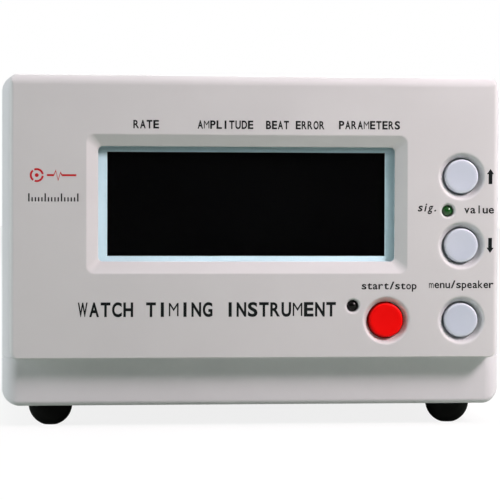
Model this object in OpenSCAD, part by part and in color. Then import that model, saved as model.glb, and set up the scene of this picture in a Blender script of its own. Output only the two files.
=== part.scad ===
// Desktop timegrapher: a watch timing instrument in a moulded case.
// Millimetres, +Z up, the front faces -Y, and the origin is on the ground under the middle of the
// whole object. Pieces on the front panel are placed from its lower edge and its face.

/* [Case] */
// Width over the case sides
case_w = 132; // [128:1:170]
// Depth of the case from its front rim to its rear rim
case_d = 143.5; // [136:0.5:190]
// Height of the case without its feet
case_h = 86.5; // [86:0.5:120]
// Thickness of the moulded walls
wall = 2.5; // [2:0.1:3]
// Radius of the case's long edges
case_r = 4.3; // [3.5:0.1:5]
// Height of the tray's front wall, below the front panel
chin_h = 12.7; // [12:0.1:17]
// Width of the inward lip round the front and rear openings
lip_w = 2; // [1.5:0.1:2.5]
// How far the rear panel is set in from the rear rim
rear_recess = 1.6; // [1.2:0.1:3]
// Thickness of the rear panel
rear_t = 2.2; // [1.6:0.1:3]
// Gap between pieces that seat in each other
seat_gap = 0.15; // [0.1:0.05:0.25]

/* [Front panel] */
// Width of the front panel
panel_w = 128; // [126:1:160]
// Thickness of the panel in front of the case rim
panel_t = 5; // [4.6:0.1:7]
// Thickness of the panel's face
face_t = 2.5; // [2.3:0.1:3]
// Radius of the panel's corners, seen from the front
panel_corner_r = 2; // [1:0.1:4]
// Rounding along the panel's top edge
panel_top_r = 2.8; // [1.5:0.1:4]
// Rounding along the panel's side edges
panel_side_r = 1.2; // [0.6:0.1:2]
// Thickness of the flange that the case captures
flange_t = 1.5; // [1.2:0.1:2]

/* [Display] */
// Width of the opening in the panel
opening_w = 78; // [70:1:80]
// Height of the opening in the panel
opening_h = 30; // [28:0.5:32]
// Width of the bevel round the opening
bevel_w = 3.1; // [2:0.1:3.5]
// Depth of the bevel
bevel_d = 1.8; // [1:0.1:2.2]
// Width of the screen that the mask leaves free
screen_w = 73.2; // [60:0.2:74]
// Height of the screen that the mask leaves free
screen_h = 27.2; // [20:0.2:27.6]
// Height of the display's middle above the panel's lower edge
display_z = 40.2; // [39.5:0.1:42]
// Thickness of the display window
window_t = 1.5; // [1:0.1:2]

/* [Keys] */
// Diameter of a key cap
cap_d = 9; // [8:0.1:10]
// Diameter of a key well at the panel's face
well_d = 12.3; // [11.6:0.1:13]
// Depth of the well's cone
well_depth = 1.7; // [1:0.1:2.2]
// Gap round a key cap
cap_gap = 0.25; // [0.15:0.05:0.4]
// Travel of a key
key_travel = 0.4; // [0.2:0.05:0.6]
// Distance of the key column from the panel's right edge
key_inset = 9.5; // [9:0.1:12]
// Height of the lowest keys above the panel's lower edge
key_row_z = 9.8; // [9.6:0.1:10.4]
// Spacing from the lowest key to the middle one
key_pitch_low = 19.7; // [19:0.1:20.5]
// Spacing from the middle key to the top one
key_pitch_high = 18.2; // [17.6:0.1:19]
// Spacing from the start key to the menu key
key_pitch_x = 20; // [18:0.1:22]
// Side of a key switch's square base
switch_w = 12; // [11:0.1:12.4]
// Diameter of an indicator's lens
led_d = 3; // [2.6:0.1:3.4]

/* [Feet] */
// Diameter of a foot where it meets the tray
foot_d = 11.6; // [10:0.1:14]
// Height of a foot
foot_h = 5.5; // [4.5:0.1:5.6]
// Distance of a foot's middle from the case side
foot_inset_x = 12.7; // [10:0.1:16]
// Distance of a front foot's middle from the case's front rim
foot_front_inset = 8.5; // [8:0.1:11]
// Distance of a rear foot's middle from the case's rear rim
foot_rear_inset = 12.5; // [12:0.1:16]

/* [Sockets] */
// Length of the sensor socket's sleeve behind the rear panel's face
sleeve_len = 8; // [6:0.1:10]
// Outer diameter of the sensor socket's sleeve
sleeve_d = 8.3; // [8.2:0.05:8.4]
// Diameter of the sensor plug's centre pin
sensor_pin_d = 3.2; // [3.1:0.05:3.3]
// Diameter of the power inlet's centre pin
inlet_pin_d = 2; // [1.9:0.05:2.5]
// Diameter of the power inlet's mouth
inlet_bore_d = 6.3; // [6:0.1:6.6]

/* [Speaker] */
// Diameter of the loudspeaker's flange
speaker_d = 40; // [36:1:46]
// Height of the loudspeaker
speaker_h = 12; // [10:0.5:16]

/* [Boards] */
// Thickness of the circuit boards
board_t = 1.6; // [1:0.1:2]
// Width of the main board
main_board_w = 98; // [90:1:100]
// Depth of the main board
main_board_d = 78; // [70:1:90]
// Height of the main board's bosses above the tray's floor
main_boss_h = 9; // [8:0.5:11]
// Diameter of a case screw's thread
case_screw_d = 2.9; // [2.5:0.1:3.2]
// Diameter of a board screw's thread
board_screw_d = 2; // [1.8:0.1:2.4]

/* [Hidden] */
$fn = 48;
bite = 1;
fit_gap = 0.05;
screw_gap = 0.03;

// Planes of the case
overall_d = panel_t + case_d - rear_recess + sleeve_len;
face_y = -overall_d / 2;
rim_y = face_y + panel_t;
rear_rim_y = rim_y + case_d;
rear_face_y = rear_rim_y - rear_recess;
rear_inner_y = rear_face_y - rear_t;
case_mid_y = (rim_y + rear_rim_y) / 2;
base_z = foot_h;
floor_z = base_z + wall;
seam_z = base_z + chin_h;
top_z = base_z + case_h;
panel_h = top_z - seam_z;
panel_mid_z = (seam_z + top_z) / 2;
cavity_w = case_w - 2 * wall;
ceiling_z = top_z - wall;

// Tongues that line up the case halves
tongue_t = 1.7;
tongue_x = cavity_w / 2 - seat_gap - tongue_t / 2;

// The panel's neck passes through the case's front opening
neck_w = cavity_w - 2 * lip_w;
neck_top_z = ceiling_z - lip_w;
neck_wall = 2;
neck_end_y = rim_y + wall + seat_gap + flange_t;
flange_y = rim_y + wall + seat_gap;
flange_drop = 4;

// Display stack, counted back from the panel's face
key_x = panel_w / 2 - key_inset;
display_gap = 56.6;
display_x = key_x - display_gap;
display_mid_z = seam_z + display_z;
window_y = face_y + bevel_d + 0.6;
window_w = opening_w + 3.6;
window_h = opening_h + 3.6;
mask_t = 0.3;
mask_y = window_y + window_t + fit_gap;
surround_end_y = mask_y + mask_t;
frame_y = surround_end_y + fit_gap;
frame_w = window_w + 2.4;
frame_h = window_h + 2.4;
frame_d = 5.5;
frame_sheet = 0.4;
glass_w = frame_w - 8;
glass_h = frame_h - 6;
glass_t = 2;
light_t = 2.6;
lcd_board_y = frame_y + frame_d + fit_gap;
lcd_board_w = frame_w + 12;
lcd_board_h = frame_h + 7;
lcd_boss_d = 5.2;
lcd_boss_x = lcd_board_w / 2 - 2.9;
lcd_boss_z = lcd_board_h / 2 - 2.9;

// Key positions and the key stack
keys = [
    [key_x, key_row_z + key_pitch_low + key_pitch_high],
    [key_x, key_row_z + key_pitch_low],
    [key_x, key_row_z],
    [key_x - key_pitch_x, key_row_z]
];
collar_d = 14;
collar_end_y = face_y + 4.5;
cap_face_y = face_y + 0.35;
cap_flange_t = 1;
cap_flange_y = collar_end_y + 0.1;
cap_flange_d = cap_d + 1.4;
cap_end_y = cap_flange_y + cap_flange_t + 2.2;
cover_t = 0.3;
switch_h = 3.5;
cover_y = neck_end_y + 0.85;
key_board_y = cover_y + switch_h;
plunger_d = 6.6;
plunger_collar_d = 8.4;
plunger_collar_t = 0.5;
plunger_post_d = 3.6;
dome_gap = key_travel + 0.1;

// Indicators: [x, z] from the panel's lower edge, signal first
led_offset_x = 3.7;
leds = [
    [key_x - led_offset_x, key_row_z + key_pitch_low + key_pitch_high / 2],
    [key_x - key_pitch_x - 8.9, key_row_z + 3.8]
];
led_base_y = face_y + 5.2;
led_pitch = 2.54;
lead_d = 0.5;

// Key board outline and its bosses
key_board_right = key_x + 7.5;
key_board_left = key_x - 7.5;
key_arm_left = key_x - key_pitch_x - 23;
key_board_bottom = 3;
key_arm_top = 17.2;
key_board_top = keys[0][1] + 13;
key_boss_d = 5.6;
key_bosses = [
    [key_x, key_row_z + key_pitch_low / 2],
    [key_x, key_board_top - 3.2],
    [key_arm_left + 4, key_row_z]
];

// Case posts: tray posts meet the cover's long posts
post_d = 8;
post_x = case_w / 2 - wall - 4.6;
post_front_y = rim_y + 26;
post_rear_y = rear_rim_y - 22;
post_joint_z = floor_z + 16;
post_places = [
    [-post_x, post_front_y], [post_x, post_front_y],
    [-post_x, post_rear_y], [post_x, post_rear_y]
];
head_seat_z = base_z + 6;
case_head_d = 5.6;
case_head_h = 2;
case_screw_len = post_joint_z - head_seat_z + 9;

// Feet
foot_x = case_w / 2 - foot_inset_x;
foot_places = [
    [-foot_x, rim_y + foot_front_inset], [foot_x, rim_y + foot_front_inset],
    [-foot_x, rear_rim_y - foot_rear_inset], [foot_x, rear_rim_y - foot_rear_inset]
];
foot_stem_d = 4;

// Loudspeaker, face down on the tray's floor
speaker_x = -24;
speaker_y = rim_y + 38;
speaker_boss_r = speaker_d / 2 + 3.4;
speaker_boss_d = 5;
speaker_boss_h = 4;
clamp_t = 0.8;
speaker_angles = [90, 210, 330];
slot_w = 2.2;
slot_pitch = 4.4;
slot_count = 7;

// Main board and what stands on it
board_z = floor_z + main_boss_h;
board_top_z = board_z + board_t;
board_rear_y = rear_inner_y - 2.5;
board_mid_y = board_rear_y - main_board_d / 2;
main_boss_d = 6;
main_boss_x = main_board_w / 2 - 5;
main_boss_y = main_board_d / 2 - 5;
inlet_x = 30;
inlet_w = 9;
inlet_h = 11;
inlet_len = 14;
inlet_z = board_top_z + inlet_h / 2;
inlet_depth = 10;
inlet_root_d = inlet_pin_d - 0.4;
inlet_tabs = [-2.4, 2.4];
inlet_tab_w = 2;
inlet_tab_t = 0.6;
inlet_tab_y = rear_face_y - inlet_len - inlet_tab_t - fit_gap;
sensor_x = -30;
sensor_z = floor_z + 34;
barrel_d = 6.2;
barrel_len = 9;
hex_d = 11;
hex_t = 2;
sleeve_wall = 0.6;
nut_d = 9;
nut_t = 2;
lug_t = 0.5;

// Headers along the main board's front edge: [middle, width] for display, speaker and keys
headers = [[-26, 20], [-8, 8], [8, 14]];
header_h = 6;
header_y = board_mid_y - main_board_d / 2 + 4.5;
header_z = board_top_z + header_h + 0.2;
ribbon_t = 0.8;
lead_t = 1.2;

// ---- Shared shapes ----

// Flat rectangle with rounded corners, centred
module round_rect(w, h, r) {
    square([w - 2 * r, h], center = true);
    square([w, h - 2 * r], center = true);
    for (x = [-1, 1], y = [-1, 1])
        translate([x * (w / 2 - r), y * (h / 2 - r)])
            circle(r);
}

// Box from its low corner to its high corner
module span(low, high) {
    translate(low)
        cube(high - low);
}

// Extrudes a front-view outline (X, Z) from depth y0 to y1
module front_extrude(y0, y1) {
    translate([0, y1, 0])
        rotate([90, 0, 0])
            linear_extrude(y1 - y0)
                children();
}

// Cylinder along Y from y0 to y1
module rod_y(x, z, d, y0, y1, d_end = 0) {
    translate([x, y0, z])
        rotate([-90, 0, 0])
            cylinder(h = y1 - y0, d1 = d, d2 = d_end > 0 ? d_end : d);
}

// Screw along +Z from the underside of its head, with a cross recess
module screw_up(len, d, head_d, head_h) {
    difference() {
        union() {
            translate([0, 0, -head_h / 2])
                cylinder(h = len + head_h / 2, d = d);
            translate([0, 0, -head_h])
                cylinder(h = head_h, d = head_d);
        }
        for (a = [0, 90])
            rotate(a)
                translate([-head_d / 4, -head_d / 16, -head_h - bite])
                    cube([head_d / 2, head_d / 8, bite + head_h / 2]);
    }
}

// Board screw driven towards -Y, the underside of its head at depth y
module board_screw(x, z, y, len) {
    translate([x, y, z])
        rotate([90, 0, 0])
            screw_up(len, board_screw_d, board_screw_d * 1.9, 1.3);
}

// The case's whole outside: plan, front and side outlines in common
module case_block() {
    intersection() {
        translate([0, case_mid_y, base_z - bite])
            linear_extrude(case_h + 2 * bite)
                round_rect(case_w, case_d, case_r);
        translate([0, 0, base_z + case_h / 2])
            front_extrude(rim_y - bite, rear_rim_y + bite)
                round_rect(case_w, case_h, case_r);
        translate([-case_w / 2 - bite, case_mid_y, base_z + case_h / 2])
            rotate([90, 0, 90])
                linear_extrude(case_w + 2 * bite)
                    round_rect(case_d, case_h, case_r / 3);
    }
}

// The case's hollow: the main room, the front opening and the rear opening, both above the seam
module case_hollow() {
    span([-cavity_w / 2, rim_y + wall, floor_z],
         [cavity_w / 2, rear_face_y + seat_gap, ceiling_z]);
    span([-neck_w / 2 - seat_gap, rim_y - bite, seam_z],
         [neck_w / 2 + seat_gap, rim_y + wall + bite, neck_top_z + seat_gap]);
    span([-cavity_w / 2 + lip_w, rear_face_y, seam_z],
         [cavity_w / 2 - lip_w, rear_rim_y + bite, ceiling_z - lip_w]);
}

// Rib round the inside of the case, just in front of the rear panel
module rear_rib() {
    y0 = rear_inner_y - seat_gap - wall;
    y1 = rear_inner_y - seat_gap;
    difference() {
        span([-cavity_w / 2 - bite, y0, floor_z - bite], [cavity_w / 2 + bite, y1, ceiling_z + bite]);
        span([-cavity_w / 2 + lip_w, y0 - bite, floor_z + lip_w],
             [cavity_w / 2 - lip_w, y1 + bite, ceiling_z - lip_w]);
    }
}

// ---- Case ----

module panel_slab() {
    intersection() {
        translate([0, 0, panel_mid_z])
            front_extrude(face_y - bite, rim_y - seat_gap)
                round_rect(panel_w, panel_h, panel_corner_r);
        translate([0, 0, seam_z - bite])
            linear_extrude(panel_h + 2 * bite) {
                translate([-panel_w / 2, face_y + panel_side_r])
                    square([panel_w, panel_t]);
                translate([-panel_w / 2 + panel_side_r, face_y])
                    square([panel_w - 2 * panel_side_r, panel_t]);
                for (s = [-1, 1])
                    translate([s * (panel_w / 2 - panel_side_r), face_y + panel_side_r])
                        circle(panel_side_r);
            }
        translate([-panel_w / 2 - bite, 0, 0])
            rotate([90, 0, 90])
                linear_extrude(panel_w + 2 * bite) {
                    translate([face_y, seam_z])
                        square([panel_t, panel_h - panel_top_r]);
                    translate([face_y + panel_top_r, seam_z])
                        square([panel_t, panel_h]);
                    translate([face_y + panel_top_r, top_z - panel_top_r])
                        circle(panel_top_r);
                }
    }
}

// Neck, flange, collars, bosses and the display surround behind the panel's face
module panel_back() {
    span([-neck_w / 2, rim_y - 1, seam_z + seat_gap], [neck_w / 2, neck_end_y, neck_top_z]);
    span([-cavity_w / 2 + seat_gap, flange_y, seam_z + seat_gap],
         [cavity_w / 2 - seat_gap, neck_end_y, ceiling_z - seat_gap]);
    span([-neck_w / 2, flange_y, seam_z - flange_drop], [neck_w / 2, neck_end_y, seam_z + bite]);
}

module panel_pocket() {
    difference() {
        union() {
            span([-neck_w / 2 + neck_wall, face_y + face_t, seam_z + neck_wall + seat_gap],
                 [neck_w / 2 - neck_wall, neck_end_y + bite, neck_top_z - neck_wall]);
            for (k = keys)
                rod_y(k[0], seam_z + k[1], cap_flange_d + 1, collar_end_y, neck_end_y + bite);
        }
        for (k = keys)
            rod_y(k[0], seam_z + k[1], collar_d, face_y, collar_end_y);
        for (l = leds)
            rod_y(l[0], seam_z + l[1], led_d + 3.4, face_y, led_base_y - 1.1);
        for (b = key_bosses)
            rod_y(b[0], seam_z + b[1], key_boss_d, face_y, key_board_y - fit_gap);
        for (x = [-1, 1], z = [-1, 1])
            rod_y(display_x + x * lcd_boss_x, display_mid_z + z * lcd_boss_z, lcd_boss_d,
                  face_y, lcd_board_y - fit_gap);
        span([display_x - frame_w / 2 - 1, face_y, display_mid_z - frame_h / 2 - 1],
             [display_x + frame_w / 2 + 1, surround_end_y, display_mid_z + frame_h / 2 + 1]);
    }
}

module display_cut() {
    translate([display_x, 0, display_mid_z]) {
        hull() {
            front_extrude(face_y - 0.01, face_y)
                round_rect(opening_w + 2 * bevel_w, opening_h + 2 * bevel_w, 2, $fn = 32);
            front_extrude(face_y + bevel_d - 0.01, face_y + bevel_d)
                round_rect(opening_w, opening_h, 0.5, $fn = 32);
        }
        front_extrude(face_y, window_y + bite / 2)
            square([opening_w - 0.02, opening_h - 0.02], center = true);
        front_extrude(window_y, surround_end_y + bite)
            square([window_w + 2 * seat_gap, window_h + 2 * seat_gap], center = true);
    }
}

module key_cut(x, z) {
    rod_y(x, z, well_d + 0.1, face_y - 0.05, face_y + well_depth, cap_d + 2 * cap_gap + 0.3);
    rod_y(x, z, cap_d + 2 * cap_gap, face_y - bite, collar_end_y + bite);
}

module led_cut(x, z) {
    rod_y(x, z, led_d + 1.1, face_y - 0.05, face_y + 0.45, led_d + 0.2);
    rod_y(x, z, led_d + 0.2, face_y - bite, led_base_y);
}

module front_panel() {
    color("gainsboro")
        difference() {
            union() {
                difference() {
                    union() {
                        panel_slab();
                        panel_back();
                    }
                    panel_pocket();
                }
                for (b = key_bosses)
                    rod_y(b[0], seam_z + b[1], key_boss_d, face_y + bite, key_board_y - fit_gap);
                for (x = [-1, 1], z = [-1, 1])
                    rod_y(display_x + x * lcd_boss_x, display_mid_z + z * lcd_boss_z, lcd_boss_d,
                          face_y + bite, lcd_board_y - fit_gap);
            }
            display_cut();
            for (k = keys)
                key_cut(k[0], seam_z + k[1]);
            for (l = leds)
                led_cut(l[0], seam_z + l[1]);
            for (b = key_bosses)
                rod_y(b[0], seam_z + b[1], board_screw_d + 2 * screw_gap,
                      face_y + face_t + 1.5, key_board_y + bite);
            for (x = [-1, 1], z = [-1, 1])
                rod_y(display_x + x * lcd_boss_x, display_mid_z + z * lcd_boss_z,
                      board_screw_d + 2 * screw_gap, face_y + face_t + 1, lcd_board_y + bite);
        }
}

module top_cover() {
    color("white")
        difference() {
            union() {
                intersection() {
                    difference() {
                        case_block();
                        case_hollow();
                    }
                    span([-case_w, rim_y - bite, seam_z + fit_gap], [case_w, rear_rim_y + bite, top_z]);
                }
                intersection() {
                    rear_rib();
                    span([-case_w / 2 + 1, rim_y, seam_z + fit_gap],
                         [case_w / 2 - 1, rear_rim_y, top_z - 1]);
                }
                for (p = post_places)
                    translate([p[0], p[1], post_joint_z + fit_gap])
                        cylinder(h = ceiling_z - post_joint_z + bite, d = post_d);
                // stops behind the front panel's flange
                for (s = [-1, 1], z = [panel_mid_z - 20, panel_mid_z + 20])
                    translate([s * (cavity_w / 2 - 0.5), neck_end_y + seat_gap + 1, z])
                        cube([3, 2, 12], center = true);
            }
            for (p = post_places)
                translate([p[0], p[1], post_joint_z - bite])
                    cylinder(h = 14, d = case_screw_d + 2 * screw_gap);
        }
}

module speaker_slots() {
    for (i = [0 : slot_count - 1]) {
        x = (i - (slot_count - 1) / 2) * slot_pitch;
        half = sqrt(pow(speaker_d / 2 - 4, 2) - x * x) - slot_w / 2;
        translate([speaker_x + x, speaker_y, base_z - bite])
            linear_extrude(wall + 2 * bite) {
                square([slot_w, 2 * half], center = true);
                for (s = [-1, 1])
                    translate([0, s * half])
                        circle(d = slot_w);
            }
    }
}

module bottom_tray() {
    color("whitesmoke")
        difference() {
            union() {
                intersection() {
                    difference() {
                        case_block();
                        case_hollow();
                    }
                    span([-case_w, rim_y - bite, base_z], [case_w, rear_rim_y + bite, seam_z]);
                }
                intersection() {
                    rear_rib();
                    span([-case_w / 2 + 1, rim_y, base_z + 1], [case_w / 2 - 1, rear_rim_y, seam_z]);
                }
                // tongues inside the cover's side walls
                for (s = [-1, 1])
                    span([s * tongue_x - tongue_t / 2, rim_y + 10, floor_z - bite],
                         [s * tongue_x + tongue_t / 2, rear_inner_y - wall - 1, seam_z + 2.5]);
                for (p = post_places)
                    translate([p[0], p[1], floor_z - bite])
                        cylinder(h = post_joint_z - floor_z + bite, d = post_d);
                for (a = speaker_angles)
                    translate([speaker_x + speaker_boss_r * cos(a),
                               speaker_y + speaker_boss_r * sin(a), floor_z - bite])
                        cylinder(h = bite + speaker_boss_h, d = speaker_boss_d);
                for (x = [-1, 1], y = [-1, 1])
                    translate([x * main_boss_x, board_mid_y + y * main_boss_y, floor_z - bite])
                        cylinder(h = bite + main_boss_h - fit_gap, d = main_boss_d);
            }
            for (p = post_places)
                translate([p[0], p[1], 0]) {
                    translate([0, 0, base_z - bite])
                        cylinder(h = head_seat_z - base_z + bite, d = case_head_d + 1);
                    translate([0, 0, base_z])
                        cylinder(h = case_h, d = case_screw_d + 0.5);
                }
            for (p = foot_places)
                translate([p[0], p[1], base_z - bite])
                    cylinder(h = wall + 2 * bite, d = foot_stem_d + 0.1);
            for (a = speaker_angles)
                translate([speaker_x + speaker_boss_r * cos(a),
                           speaker_y + speaker_boss_r * sin(a), floor_z - 0.5])
                    cylinder(h = 8, d = board_screw_d + 2 * screw_gap);
            for (x = [-1, 1], y = [-1, 1])
                translate([x * main_boss_x, board_mid_y + y * main_boss_y, floor_z])
                    cylinder(h = main_boss_h + bite, d = board_screw_d + 2 * screw_gap);
            speaker_slots();
        }
}

module rear_panel() {
    color("gainsboro")
        difference() {
            span([-cavity_w / 2 + seat_gap, rear_inner_y, floor_z + seat_gap],
                 [cavity_w / 2 - seat_gap, rear_face_y, ceiling_z - seat_gap]);
            rod_y(sensor_x, sensor_z, barrel_d + 0.2, rear_inner_y - bite, rear_face_y + bite);
            span([inlet_x - inlet_w / 2 - seat_gap, rear_inner_y - bite,
                  inlet_z - inlet_h / 2 - seat_gap],
                 [inlet_x + inlet_w / 2 + seat_gap, rear_face_y + bite,
                  inlet_z + inlet_h / 2 + seat_gap]);
        }
}

module case_screws() {
    color("silver")
        for (p = post_places)
            translate([p[0], p[1], head_seat_z])
                screw_up(case_screw_len, case_screw_d, case_head_d, case_head_h);
}

// Domed foot with a flat tip and a stem that snaps through the tray's floor
module foot(place) {
    color("black")
        translate([place[0], place[1], 0]) {
            intersection() {
                translate([0, 0, foot_h])
                    sphere(d = foot_d);
                cylinder(h = foot_h, d = foot_d + 1);
            }
            translate([0, 0, foot_h - bite])
                cylinder(h = wall + bite + 0.1, d = foot_stem_d);
            translate([0, 0, floor_z + 0.1])
                cylinder(h = 1.6, d1 = foot_stem_d + 1.4, d2 = foot_stem_d - 0.6);
        }
}

// ---- Display ----

module display_plate(w, h, y0, y1) {
    translate([display_x, 0, display_mid_z])
        front_extrude(y0, y1)
            square([w, h], center = true);
}

module display_window() {
    color("lightcyan")
        display_plate(window_w, window_h, window_y, window_y + window_t);
}

module display_mask() {
    color("powderblue")
        difference() {
            display_plate(window_w, window_h, mask_y, mask_y + mask_t);
            display_plate(screen_w, screen_h, mask_y - bite, mask_y + bite);
        }
}

module lcd_frame() {
    color("dimgray")
        difference() {
            display_plate(frame_w, frame_h, frame_y, frame_y + frame_d);
            display_plate(frame_w - 2 * frame_sheet, frame_h - 2 * frame_sheet,
                          frame_y + frame_sheet, frame_y + frame_d + bite);
            display_plate(screen_w + 1, screen_h + 1, frame_y - bite, frame_y + bite);
        }
}

module lcd_glass() {
    color("black")
        display_plate(glass_w, glass_h, frame_y + frame_sheet + fit_gap,
                      frame_y + frame_sheet + fit_gap + glass_t);
}

module lcd_backlight() {
    y0 = frame_y + frame_sheet + 2 * fit_gap + glass_t;
    color("white")
        display_plate(glass_w + 3, glass_h + 2, y0, y0 + light_t - 0.3);
}

module lcd_board() {
    color("darkgreen")
        difference() {
            display_plate(lcd_board_w, lcd_board_h, lcd_board_y, lcd_board_y + board_t);
            for (x = [-1, 1], z = [-1, 1])
                rod_y(display_x + x * lcd_boss_x, display_mid_z + z * lcd_boss_z,
                      board_screw_d + 0.4, lcd_board_y - bite, lcd_board_y + board_t + bite);
        }
}

module lcd_screws() {
    color("silver")
        for (x = [-1, 1], z = [-1, 1])
            board_screw(display_x + x * lcd_boss_x, display_mid_z + z * lcd_boss_z,
                        lcd_board_y + board_t + fit_gap, 6);
}

// ---- Keys ----

// Cap with a retaining flange and a socket for the plunger's post
module key_cap(k, shade) {
    x = k[0];
    z = seam_z + k[1];
    edge = 0.35;
    color(shade)
        difference() {
            union() {
                rod_y(x, z, cap_d - 2 * edge, cap_face_y, cap_face_y + edge, cap_d);
                rod_y(x, z, cap_d, cap_face_y + edge, cap_flange_y + cap_flange_t);
                rod_y(x, z, cap_flange_d, cap_flange_y, cap_flange_y + cap_flange_t);
                rod_y(x, z, plunger_post_d + 2.4, cap_flange_y, cap_end_y);
            }
            rod_y(x, z, plunger_post_d + 2 * fit_gap, cap_flange_y - 1, cap_end_y + bite);
        }
}

module plunger(k) {
    x = k[0];
    z = seam_z + k[1];
    color("ivory") {
        rod_y(x, z, plunger_post_d, cap_flange_y - 1 + fit_gap, cap_end_y + 0.5);
        rod_y(x, z, plunger_d, cap_end_y + fit_gap, cover_y + cover_t + 2 * fit_gap + plunger_collar_t);
        rod_y(x, z, plunger_collar_d, cover_y + cover_t + fit_gap,
              cover_y + cover_t + 2 * fit_gap + plunger_collar_t);
    }
}

module key_switch_bases() {
    color("black")
        for (k = keys)
            translate([k[0], 0, seam_z + k[1]])
                difference() {
                    front_extrude(cover_y + cover_t, key_board_y)
                        round_rect(switch_w, switch_w, 0.6);
                    rod_y(0, 0, 9.6, cover_y, key_board_y - 0.8);
                }
}

module key_switch_covers() {
    color("silver")
        for (k = keys)
            translate([k[0], 0, seam_z + k[1]])
                difference() {
                    front_extrude(cover_y, cover_y + cover_t)
                        round_rect(switch_w, switch_w, 0.6);
                    rod_y(0, 0, plunger_d + 0.2, cover_y - bite, cover_y + bite);
                }
}

// Shallow spring domes, a cap of a sphere in each switch base
module key_contact_domes() {
    dome_r = 4;
    top_y = cover_y + cover_t + 2 * fit_gap + plunger_collar_t + dome_gap;
    rise = key_board_y - 0.8 - top_y;
    ball_r = (dome_r * dome_r + rise * rise) / (2 * rise);
    sheet = 0.15;
    color("goldenrod")
        for (k = keys)
            translate([k[0], top_y, seam_z + k[1]])
                rotate([-90, 0, 0])
                    intersection() {
                        translate([0, 0, ball_r])
                            difference() {
                                sphere(r = ball_r, $fn = 72);
                                sphere(r = ball_r - sheet, $fn = 72);
                            }
                        translate([0, 0, -bite])
                            cylinder(h = rise + bite, r = dome_r + 1);
                    }
}

module key_board() {
    y0 = key_board_y;
    y1 = key_board_y + board_t;
    color("darkgreen")
        difference() {
            union() {
                span([key_board_left, y0, seam_z + key_board_bottom],
                     [key_board_right, y1, seam_z + key_board_top]);
                span([key_arm_left, y0, seam_z + key_board_bottom],
                     [key_board_right, y1, seam_z + key_arm_top]);
            }
            for (b = key_bosses)
                rod_y(b[0], seam_z + b[1], board_screw_d + 0.4, y0 - bite, y1 + bite);
            for (l = leds, s = [-1, 1])
                rod_y(l[0] + s * led_pitch / 2, seam_z + l[1], lead_d + 0.3, y0 - bite, y1 + bite);
        }
}

module key_board_screws() {
    color("silver")
        for (b = key_bosses)
            board_screw(b[0], seam_z + b[1], key_board_y + board_t + fit_gap, 7);
}

// Domed lens with a flange behind the panel's collar
module led(l, shade) {
    x = l[0];
    z = seam_z + l[1];
    tip_y = face_y + 0.25;
    color(shade) {
        translate([x, tip_y + led_d / 2, z])
            sphere(d = led_d);
        rod_y(x, z, led_d, tip_y + led_d / 2, led_base_y);
        rod_y(x, z, led_d + 0.8, led_base_y - 1, led_base_y);
    }
}

module led_spacers() {
    color("dimgray")
        for (l = leds)
            difference() {
                rod_y(l[0], seam_z + l[1], led_d + 1.4, led_base_y + fit_gap, key_board_y - fit_gap);
                for (s = [-1, 1])
                    rod_y(l[0] + s * led_pitch / 2, seam_z + l[1], lead_d + 0.2,
                          led_base_y - bite, key_board_y + bite);
            }
}

module led_leads() {
    color("silver")
        for (l = leds, s = [-1, 1])
            rod_y(l[0] + s * led_pitch / 2, seam_z + l[1], lead_d,
                  led_base_y, key_board_y + board_t + 1);
}

// ---- Main board ----

module main_board() {
    color("darkgreen")
        difference() {
            span([-main_board_w / 2, board_mid_y - main_board_d / 2, board_z],
                 [main_board_w / 2, board_mid_y + main_board_d / 2, board_top_z]);
            for (x = [-1, 1], y = [-1, 1])
                translate([x * main_boss_x, board_mid_y + y * main_boss_y, board_z - bite])
                    cylinder(h = board_t + 2 * bite, d = board_screw_d + 0.4);
            for (x = inlet_tabs)
                translate([inlet_x + x, inlet_tab_y + inlet_tab_t / 2, board_z + board_t / 2])
                    cube([inlet_tab_w + 0.3, inlet_tab_t + 0.3, board_t + bite], center = true);
        }
}

module main_board_screws() {
    color("silver")
        for (x = [-1, 1], y = [-1, 1])
            translate([x * main_boss_x, board_mid_y + y * main_boss_y, board_top_z + fit_gap])
                rotate([180, 0, 0])
                    screw_up(7, board_screw_d, board_screw_d * 1.9, 1.3);
}

// Chip body with legs along two sides, standing on the main board
module chip(x, y, w, d, h, legs) {
    stand = 0.3;
    pitch = d / (legs + 1);
    translate([x, y, board_top_z]) {
        translate([0, 0, stand + h / 2])
            cube([w, d, h], center = true);
        for (s = [-1, 1], i = [1 : legs])
            translate([s * (w / 2 + 0.4), -d / 2 + i * pitch, stand + h / 4])
                cube([1.2, pitch / 3, stand * 2 + h / 2 - 0.02], center = true);
    }
}

module microcontroller() {
    color("black")
        chip(0, board_mid_y + 4, 12, 12, 1.4, 12);
}

module amplifier_chips() {
    color("black") {
        chip(-21, board_mid_y + 6, 5, 6, 1.5, 4);
        chip(-12, board_mid_y - 18, 5, 6, 1.5, 4);
    }
}

module clock_oscillator() {
    color("silver")
        translate([22, board_mid_y + 4, board_top_z + 0.1])
            linear_extrude(5)
                round_rect(20, 12, 2);
}

// Open-bottomed can over the input amplifier
module preamp_shield() {
    can_w = 22;
    can_d = 18;
    can_h = 8;
    sheet = 0.4;
    translate([-34, board_rear_y - 16, board_top_z + 0.1])
        color("silver")
            difference() {
                linear_extrude(can_h)
                    round_rect(can_w, can_d, 1);
                translate([0, 0, -bite])
                    linear_extrude(can_h - sheet + bite)
                        square([can_w - 2 * sheet, can_d - 2 * sheet], center = true);
            }
}

// Upright tab-cooled regulator in front of its heat sink
module voltage_regulator() {
    translate([30, board_mid_y - 20, board_top_z]) {
        color("black")
            translate([-5, -4.5, 5])
                cube([10, 4.5, 9]);
        color("silver")
            translate([-5, -1.3, 14])
                cube([10, 1.3, 6]);
        color("silver")
            for (i = [-1, 0, 1])
                translate([i * 2.54 - 0.4, -3, 0.05])
                    cube([0.8, 0.5, 5.5]);
    }
}

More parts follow.
